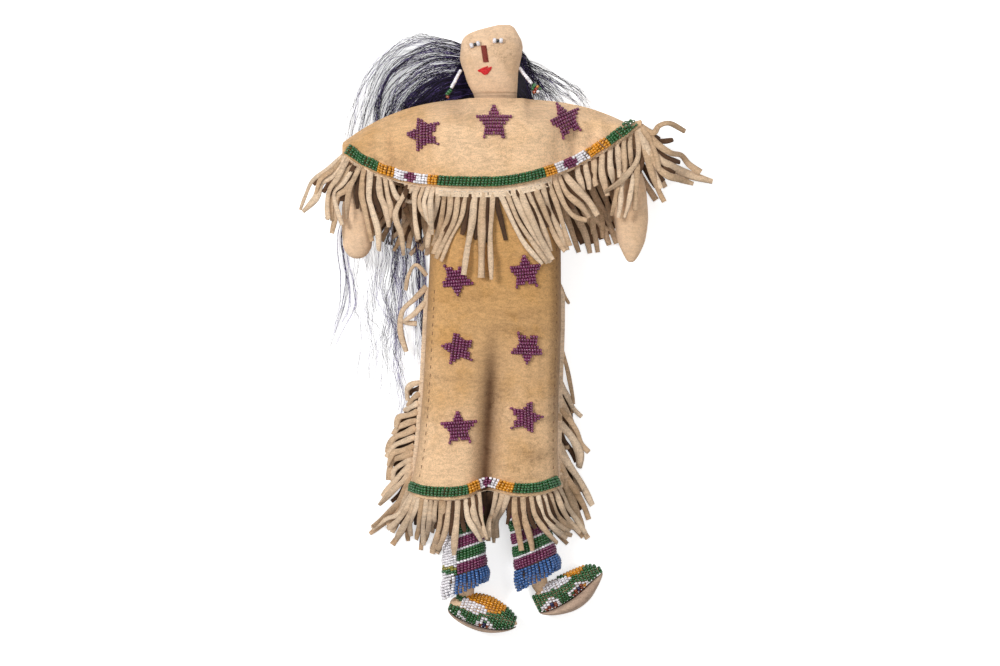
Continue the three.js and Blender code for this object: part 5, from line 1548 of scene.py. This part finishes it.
def lane_colours():
    """Colour and bulge of each round of beads, from the cuff up."""
    return [(colour, sin(pi * (k + 0.5) / count) if count > 1 else -0.2)
            for colour, count in LANES[:-1] for k in range(count)]


def leg_shape(leg, sides=32):
    end = leg.length
    stations = ((1.6, 6.4), (4, 9.6), (8, 10.8), (26, 10.8), (62, 9.7), (90, 9.7), (end - 7.4, 9.7), (end - 5.6, 8.2),
                (end - 5.3, 5.0))
    rings = [leg.ring(reach, radius, sides) for reach, radius in stations]
    # Painted shade on the leg under the legging's beads, showing in the gaps between them.
    shade = [0.8 if r in (5, 6) else 0.0 for r in range(len(rings)) for _ in range(sides)]
    return rings_mesh(f"{leg.name}_leg", rings, BODY_HIDE, {"crease": shade + [0, 0]})


def legging_beads(leg):
    """Rounds of beads on the legging, and the cuff's hanging threads of beads."""
    lanes = lane_colours()
    legging, cuff = Beads(80), Beads(90)
    around = {"legging": round(leg.girth * 3.36), "cuff": round(leg.girth * 3.0)}

    def place(reach, radius, angle):
        return leg.at(reach, radius * cos(angle) + leg.shift, 0.94 * radius * sin(angle))

    def white_side(angle):
        return leg.name == "right" and cos(angle) < -0.42 and sin(angle) > -0.5

    for c in range(around["legging"]):
        angle = 2 * pi * (c + 0.5) / around["legging"]
        slip = leg.slope * LANE_SLIP * cos(angle)
        for r, (colour, bulge) in enumerate(lanes):
            reach = leg.cuff_top - SEAT - (r + 0.5) * LANE_STEP - slip
            if reach < LEGGING_TOP:
                continue
            at = place(reach, leg.round(reach) + 0.5 * bulge, angle)
            if white_side(angle):
                colour = next(colour for colour, low in WHITE_PANEL if at.y > low)
            legging.put(at, (leg.down.x, leg.down.y, 0), colour)
    for c in range(around["cuff"]):
        angle = 2 * pi * (c + 0.5) / around["cuff"]
        slip = leg.slope * LANE_SLIP * cos(angle)
        loose, wander = cuff.chance.uniform(-0.3, 0.4), cuff.chance.uniform(-0.05, 0.05)
        longer = -1.6 * cos(angle)
        for r in range(CUFF_ROWS):
            t = (r + 0.5) / CUFF_ROWS
            reach = leg.cuff_top + (r + 0.5) * LANE_STEP - slip + (loose + longer) * t
            wide = leg.girth + mix(0.3, 0.6, t) + 1.2 * sin(pi * t)
            at = place(reach, wide, angle + wander * sin(5 * t))
            cuff.put(at, (leg.down.x, leg.down.y, 0), WHITE if white_side(angle) else BLUE, 1.05)
    legging.sew(f"{leg.name}_legging_beads", f"leg_{leg.name}", "beads_plum", [f"legging_{leg.name}"])
    cuff.sew(f"{leg.name}_cuff_beads", f"leg_{leg.name}", "beads_blue", [f"legging_cuff_{leg.name}"])


def foot_ring(leg, t, layer, grow, sides):
    x, top, seam, low, share = catmull(leg.profile, t)
    high, bottom = (top, seam) if layer == "upper" else (seam - SEAT, low)
    middle, wide = (high + bottom) / 2, max((high - bottom) / 2 + grow, 0.3)
    thick = max(FOOT_DEPTHS[layer] * share + grow, 0.3)
    return [(x, middle - wide * c, thick * s) for c, s in rounded(sides, FOOT_FULLNESS)]


def foot_form(name, leg, layer, grow, material):
    rings = []
    for i in range(41):
        ring = [leg.foot(*p) for p in foot_ring(leg, i / 40, layer, grow, 36)]
        rings.append([p + up(0.15 * noise.noise(p / 4)) for p in ring])
    return rings_mesh(name, rings, material)


# Beadwork fields of the moccasins: colour, or none where hide shows, then corners on the ground plan
FIELDS = {
    "right": rows_of(
        (YELLOW, -14, -147.6, -6.5, -140.5, 2, -144, 9.5, -150, 11, -153, 5, -156, -1, -155, -5, -150.6),
        (WHITE, -16.4, -148.6, -14, -147.6, -5, -150.6, -1, -155, -8, -156.8, -17.4, -152),
        (None, -24, -144, -16.4, -148.6, -17.4, -152, -23.4, -150),
        (WHITE, -4.2, -157.4, -2.4, -158.6, -8.4, -164.6, -10.6, -163.4),
        (WHITE, -4.2, -157.4, -2.4, -158, 3, -165, 0.6, -166),
        (NAVY, -4.8, -161.4, -2.8, -161.4, -2.6, -163.4, -5, -163.4), (RUST, -3.6, -158.8, 0.8, -166.4, -8.8, -166.4),
        (WHITE, -19, -154, -17, -154.6, -9.6, -163.4, -11, -164.6),
    ),
    "left": rows_of(
        (YELLOW, 37, -135, 46, -131.6, 54.4, -128, 48.6, -134.4, 43.4, -136),
        (WHITE, 28.4, -141, 37, -137.6, 45.4, -135, 42.4, -139.6, 36, -142.2, 28.8, -145.2),
        (None, 20, -140, 37, -133, 37, -137.6, 28.4, -141, 28.8, -145.2, 23, -147.4),
        (WHITE, 32, -147, 34.4, -147.6, 30, -154.6, 27.6, -154),
        (WHITE, 33.4, -147.4, 35, -147, 41.4, -151, 40, -153), (NAVY, 33, -150, 35.2, -150, 35.6, -152, 33, -152.4),
        (RUST, 33.6, -148.4, 40.6, -152.6, 29, -156),
        (WHITE, 45.6, -141, 48, -138.4, 49.6, -139, 43.4, -147, 42, -146),
        (WHITE, 49, -138, 51, -137.6, 57, -139, 56, -141), (NAVY, 47.4, -141.4, 49.4, -141, 49.4, -143, 47.4, -143.4),
        (YELLOW, 51.4, -138.8, 54, -138.8, 54, -141.4, 51.4, -141.4), (RUST, 49.4, -138.6, 56, -141.4, 44.4, -148),
    ),
}


def moccasin_colour(leg, at):
    for colour, corners in FIELDS[leg.name]:
        if inside(at.x, at.y, corners):
            return colour
    return GREEN


def moccasin_beads(leg, sides=240):
    beads = Beads(94)
    x, last = leg.profile[0][0] + 1.0, leg.profile[-1][0] - 0.4
    while x < last:
        t = share_where(leg.profile, x, 22)
        seam = catmull(leg.profile, t)[2]
        ring = foot_ring(leg, t, "upper", 0.1, sides)
        travelled, last_at = 0.0, None
        for i in range(sides + 1):
            p = Vector(ring[i % sides])
            if last_at is not None:
                travelled += (p - last_at).length
            if last_at is None or travelled >= BEAD_LENGTH:
                travelled = 0.0
                ahead = Vector(ring[(i + 2) % sides]) - p
                at = leg.foot(*p)
                colour = moccasin_colour(leg, at)
                if colour and p.y > seam + 0.5:
                    beads.put(at, (leg.foot(*(p + ahead)) - at).normalized(), colour, 0.96)
            last_at = p
        x += BEAD_PITCH * 0.94
    beads.sew(f"{leg.name}_moccasin_beads", f"foot_{leg.name}", "beads_amber", [f"moccasin_upper_{leg.name}"])


for leg in LEGS:
    shape = leg_shape(leg)
    settle(shape, f"leg_{leg.name}", [f"leg_cover_{leg.name}", f"leg_stuffing_{leg.name}"])
    legging_beads(leg)
    moccasin_beads(leg)
    bag = foot_form(f"{leg.name}_moccasin", leg, "upper", -0.6, BODY_HIDE)
    settle(bag, f"foot_{leg.name}", [f"foot_stuffing_{leg.name}"])
    sole = foot_form(f"{leg.name}_moccasin_sole", leg, "sole", 0.0, SOLE_HIDE)
    settle(sole, f"foot_{leg.name}", [f"moccasin_sole_{leg.name}"])
    ankle = []
    for i in range(9):
        t = i / 8
        reach = mix(leg.length - 8, leg.length + 4, t)
        radius = 4.6 * sin(pi * clamp(t, 0.06, 0.94)) ** 0.35
        ankle.append(leg.ring(reach, radius, 24, 0.6))
    settle(rings_mesh(f"{leg.name}_ankle", ankle, BODY_HIDE), f"foot_{leg.name}")

# Hair: guides from the inner lock to the outermost wisps, each from the head round and down to the sleeve
GUIDES = [
    [(-4, 132), (-14, 131), (-22, 129), (-30, 125.6), (-37, 119), (-41, 109), (-43, 94), (-44, 80)],
    [(-4, 141), (-16, 142), (-28, 140), (-39, 134.6), (-48, 125), (-53, 112), (-55, 96), (-55, 80)],
    [(-4, 150), (-17, 155), (-32, 157.6), (-46, 152.6), (-57, 142.6), (-64, 128), (-68, 106), (-69, 80)],
    [(-6, 152), (-22, 161), (-42, 161.6), (-58, 152), (-70, 136), (-76, 116), (-80, 96), (-82, 76)],
]
# Clumps, and strands in each, between neighbouring guides
FAN = [(34, 17, 0, 1), (22, 8, 1, 2), (14, 3, 2, 3)]
HAIR_RADIUS = 0.105
FINE_HAIR_RADIUS = 0.09
WAVE_SEEDS = 90
CLUMP = 6
SHEEN_CYCLE = 20
# Each lock: number of strands, spread at the root and at the tip, wander, then places from root to tip
FALLS = [
    (40, 1.8, 3.2, 1.2, [(-45, 98), (-46.6, 70), (-47.6, 46), (-47.4, 30), (-46, 14)]),
    (80, 2.2, 3.4, 1.0, [(-40.6, 98), (-40.4, 70), (-39.6, 46), (-38, 20), (-37.6, 0), (-38, -22)]),
    (60, 6.0, 8.0, 1.6, [(-56, 98), (-56, 64), (-54.6, 42), (-54, 14), (-52.6, -18), (-53, -56)]),
    (30, 1.6, 2.6, 0.7, [(-72, 98), (-78, 70), (-81.6, 52), (-81.6, 38), (-79.6, 26), (-80, 14), (-85, 0), (-90, -14)]),
    (26, 10.0, 15.0, 2.4, [(-62, 98), (-66, 66), (-67, 40), (-64, 10), (-62, -18), (-60, -44)]),
]
TUFTS = [
    (110, 2.0, 3.0, 0.8, [(8, 157), (15.6, 153.6), (19, 146), (21, 138), (22.4, 130), (23, 123)]),
    (70, 2.4, 4.0, 0.9, [(8, 148), (17.6, 145.6), (23.6, 139), (28.4, 131), (31.4, 123.6)]),
    (100, 3.0, 3.4, 0.4, [(6, 136), (13, 135), (17, 131), (20, 127), (21, 122.6)]),
    (80, 2.6, 2.6, 0.3, [(6, 130), (11, 129), (15, 127), (18, 124.6), (19, 121.8)]),
    (50, 3.0, 5.0, 1.2, [(10, 146), (20, 142), (29, 134), (37, 127), (42, 120.6)]),
    (30, 3.6, 7.0, 1.6, [(10, 150), (24, 144), (38, 135), (50, 125), (55, 117)]),
    (80, 3.0, 4.4, 0.9, [(-4, 140), (-13, 141), (-21, 138), (-27, 134), (-31, 129), (-33, 124)]),
    (120, 3.4, 3.6, 0.4, [(-4, 131), (-10, 131), (-17, 129.6), (-23, 127.4), (-27, 125), (-29, 122.6)]),
]


def hair_height(x, y, depth):
    """Lying low under the sleeve and rising a little in the free loop."""
    loop = smooth((y - 117) / 13) * smooth((-8 - x) / 16)
    back = mix(SLEEVE_BACK_Z, 0, chest_share(x)) - 0.45
    free = 0.4 + depth * 1.8
    under = smooth((y - 66) / 10) * smooth((122 - y) / 6)
    low = mix(free, min(free, max(back, 0.3)), under)
    return mix(low, 0.6 + depth * 6.4, loop)


def wander_at(x, y, *seeds):
    waves = zip((4.2, 0.8, 0.3), (26, 11, 3.4), seeds)
    return sum(strength * wave(x, y, size, seed) for strength, size, seed in waves)


def strand(path, off, ends, wander, bends, pick, steps):
    """One wavy hair along a path; bends are the slow curves that it shares with its clump."""
    depth, first, last = pick.random(), pick.uniform(0, 0.04), pick.uniform(0.7, 1.0)
    a, b = bends
    c, d = pick.uniform(0, WAVE_SEEDS), pick.uniform(0, WAVE_SEEDS)
    line = []
    for i in range(steps + 1):
        t = mix(first, last, i / steps)
        x, y = path(t)
        spread_out = mix(*ends, smooth(t * 1.3))
        free = smooth(2.4 * t) * wander
        x += off[0] * spread_out + free * wander_at(x, y, a, c, d)
        y += off[1] * spread_out + free * wander_at(x, y, b, d, c)
        line.append((x, y, hair_height(x, y, depth), 1.0 - 0.3 * t, 0.0))
    return line


def loop_lines(seed):
    pick = random.Random(seed)
    lines = []
    for clumps, count, low, high in FAN:
        for k in range(clumps):
            share = ((k + pick.random()) / clumps) ** (1.3 if low == 0 else 1.0)
            bends = (pick.uniform(0, WAVE_SEEDS), pick.uniform(0, WAVE_SEEDS))

            def path(t, a=GUIDES[low], b=GUIDES[high], u=share):
                return catmull(a, t) * (1 - u) + catmull(b, t) * u

            for _ in range(count):
                off = (pick.gauss(0, 0.5), pick.gauss(0, 0.5))
                lines.append(strand(path, off, (1.4, 2.2), 1.0 + 0.3 * low, bends, pick, 42))
    return lines


def lock_lines(locks, seed, steps):
    pick = random.Random(seed)
    lines = []
    for count, root, tip, wander, places in locks:
        for k in range(count):
            if k % CLUMP == 0:
                centre = (pick.gauss(0, 0.55), pick.gauss(0, 0.55))
                bends = (pick.uniform(0, WAVE_SEEDS), pick.uniform(0, WAVE_SEEDS))
            off = (centre[0] + pick.gauss(0, 0.16), centre[1] + pick.gauss(0, 0.16))
            lines.append(strand(lambda t: catmull(places, t), off, (root, tip), wander, bends, pick, steps))
    return lines


def hair_piece(name, lines, fine, nodes, body=None):
    """Dark strands, with so many in twenty of a paler, thinner kind whose colour paints the hair's sheen."""
    dark = [s for i, s in enumerate(lines) if i % SHEEN_CYCLE >= fine]
    pale = [s for i, s in enumerate(lines) if i % SHEEN_CYCLE < fine]
    kinds = ((name, dark, HAIR, HAIR_RADIUS, nodes), (name + "_fine", pale, FINE_SHEEN_HAIR, FINE_HAIR_RADIUS, []))
    for label, chosen, material, radius, covered in kinds:
        obj = sewn_threads(label, chosen, material, radius, 3)
        if body:
            settle(obj, body, covered)
            continue
        if covered:
            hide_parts(*covered)
        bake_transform(obj)


hair_piece("looped_hair", loop_lines(5), 5, ["hair_loop"])
hair_piece("falling_hair", lock_lines(FALLS, 6, 60), 10, ["hair_fall"], "torso")
hair_piece("side_hair", lock_lines(TUFTS, 7, 30), 3, ["hair_crown"], "head")
pad = []
for y, low, high, thick in ((124, -20, 21, 0.6), (127, -24, 24, 0.8), (131, -25, 23, 1.0), (138, -23, 20.4, 1.2),
                            (146, -18, 18.6, 1.3), (153, -12, 14, 1.3), (158, -7.2, 8.8, 1.3), (160.5, -3.2, 4.8, 1.3)):
    pad.append(oval(((low + high) / 2, y, thick + 0.4), (0, 1, 0), (high - low) / 2, thick, 40, 0.9))
settle(rings_mesh("hair_root", pad, HAIR), "head")

# Tin cone on a strip of the right sleeve's back fringe
CONE_HANG = Vector((-0.8, -1.6, 0.8))
CONE_SIDES = 28
CONE_LAP = 9
low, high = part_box("tin_cone")
low, high = Vector(low) / MM + CONE_HANG, Vector(high) / MM + CONE_HANG
cone_top = Vector((high.x - 1.1, high.y, (low.z + high.z) / 2))
cone_tip = Vector((low.x + 2.0, low.y + 0.4, (low.z + high.z) / 2))
cone_way = (cone_tip - cone_top).normalized()
cone_side = cone_way.cross(up(1)).normalized()
cone_up = cone_side.cross(cone_way)
cone_rings = []
for t, radius in ((0, 0.9), (0.02, 1.02), (0.5, 1.5), (0.98, 1.98), (1, 1.96), (1, 1.6), (0.5, 1.15), (0.02, 0.66)):
    here = cone_top.lerp(cone_tip, t)
    ring = []
    for i in range(CONE_SIDES):
        a = 2 * pi * i / CONE_SIDES
        lapped = radius + 0.16 * max(1 - i / CONE_LAP, 0)
        ring.append(here + cone_side * lapped * cos(a) + cone_up * lapped * sin(a))
    cone_rings.append(ring)
settle(rings_mesh("rolled_cone", cone_rings, TIN), "torso", ["tin_cone"])
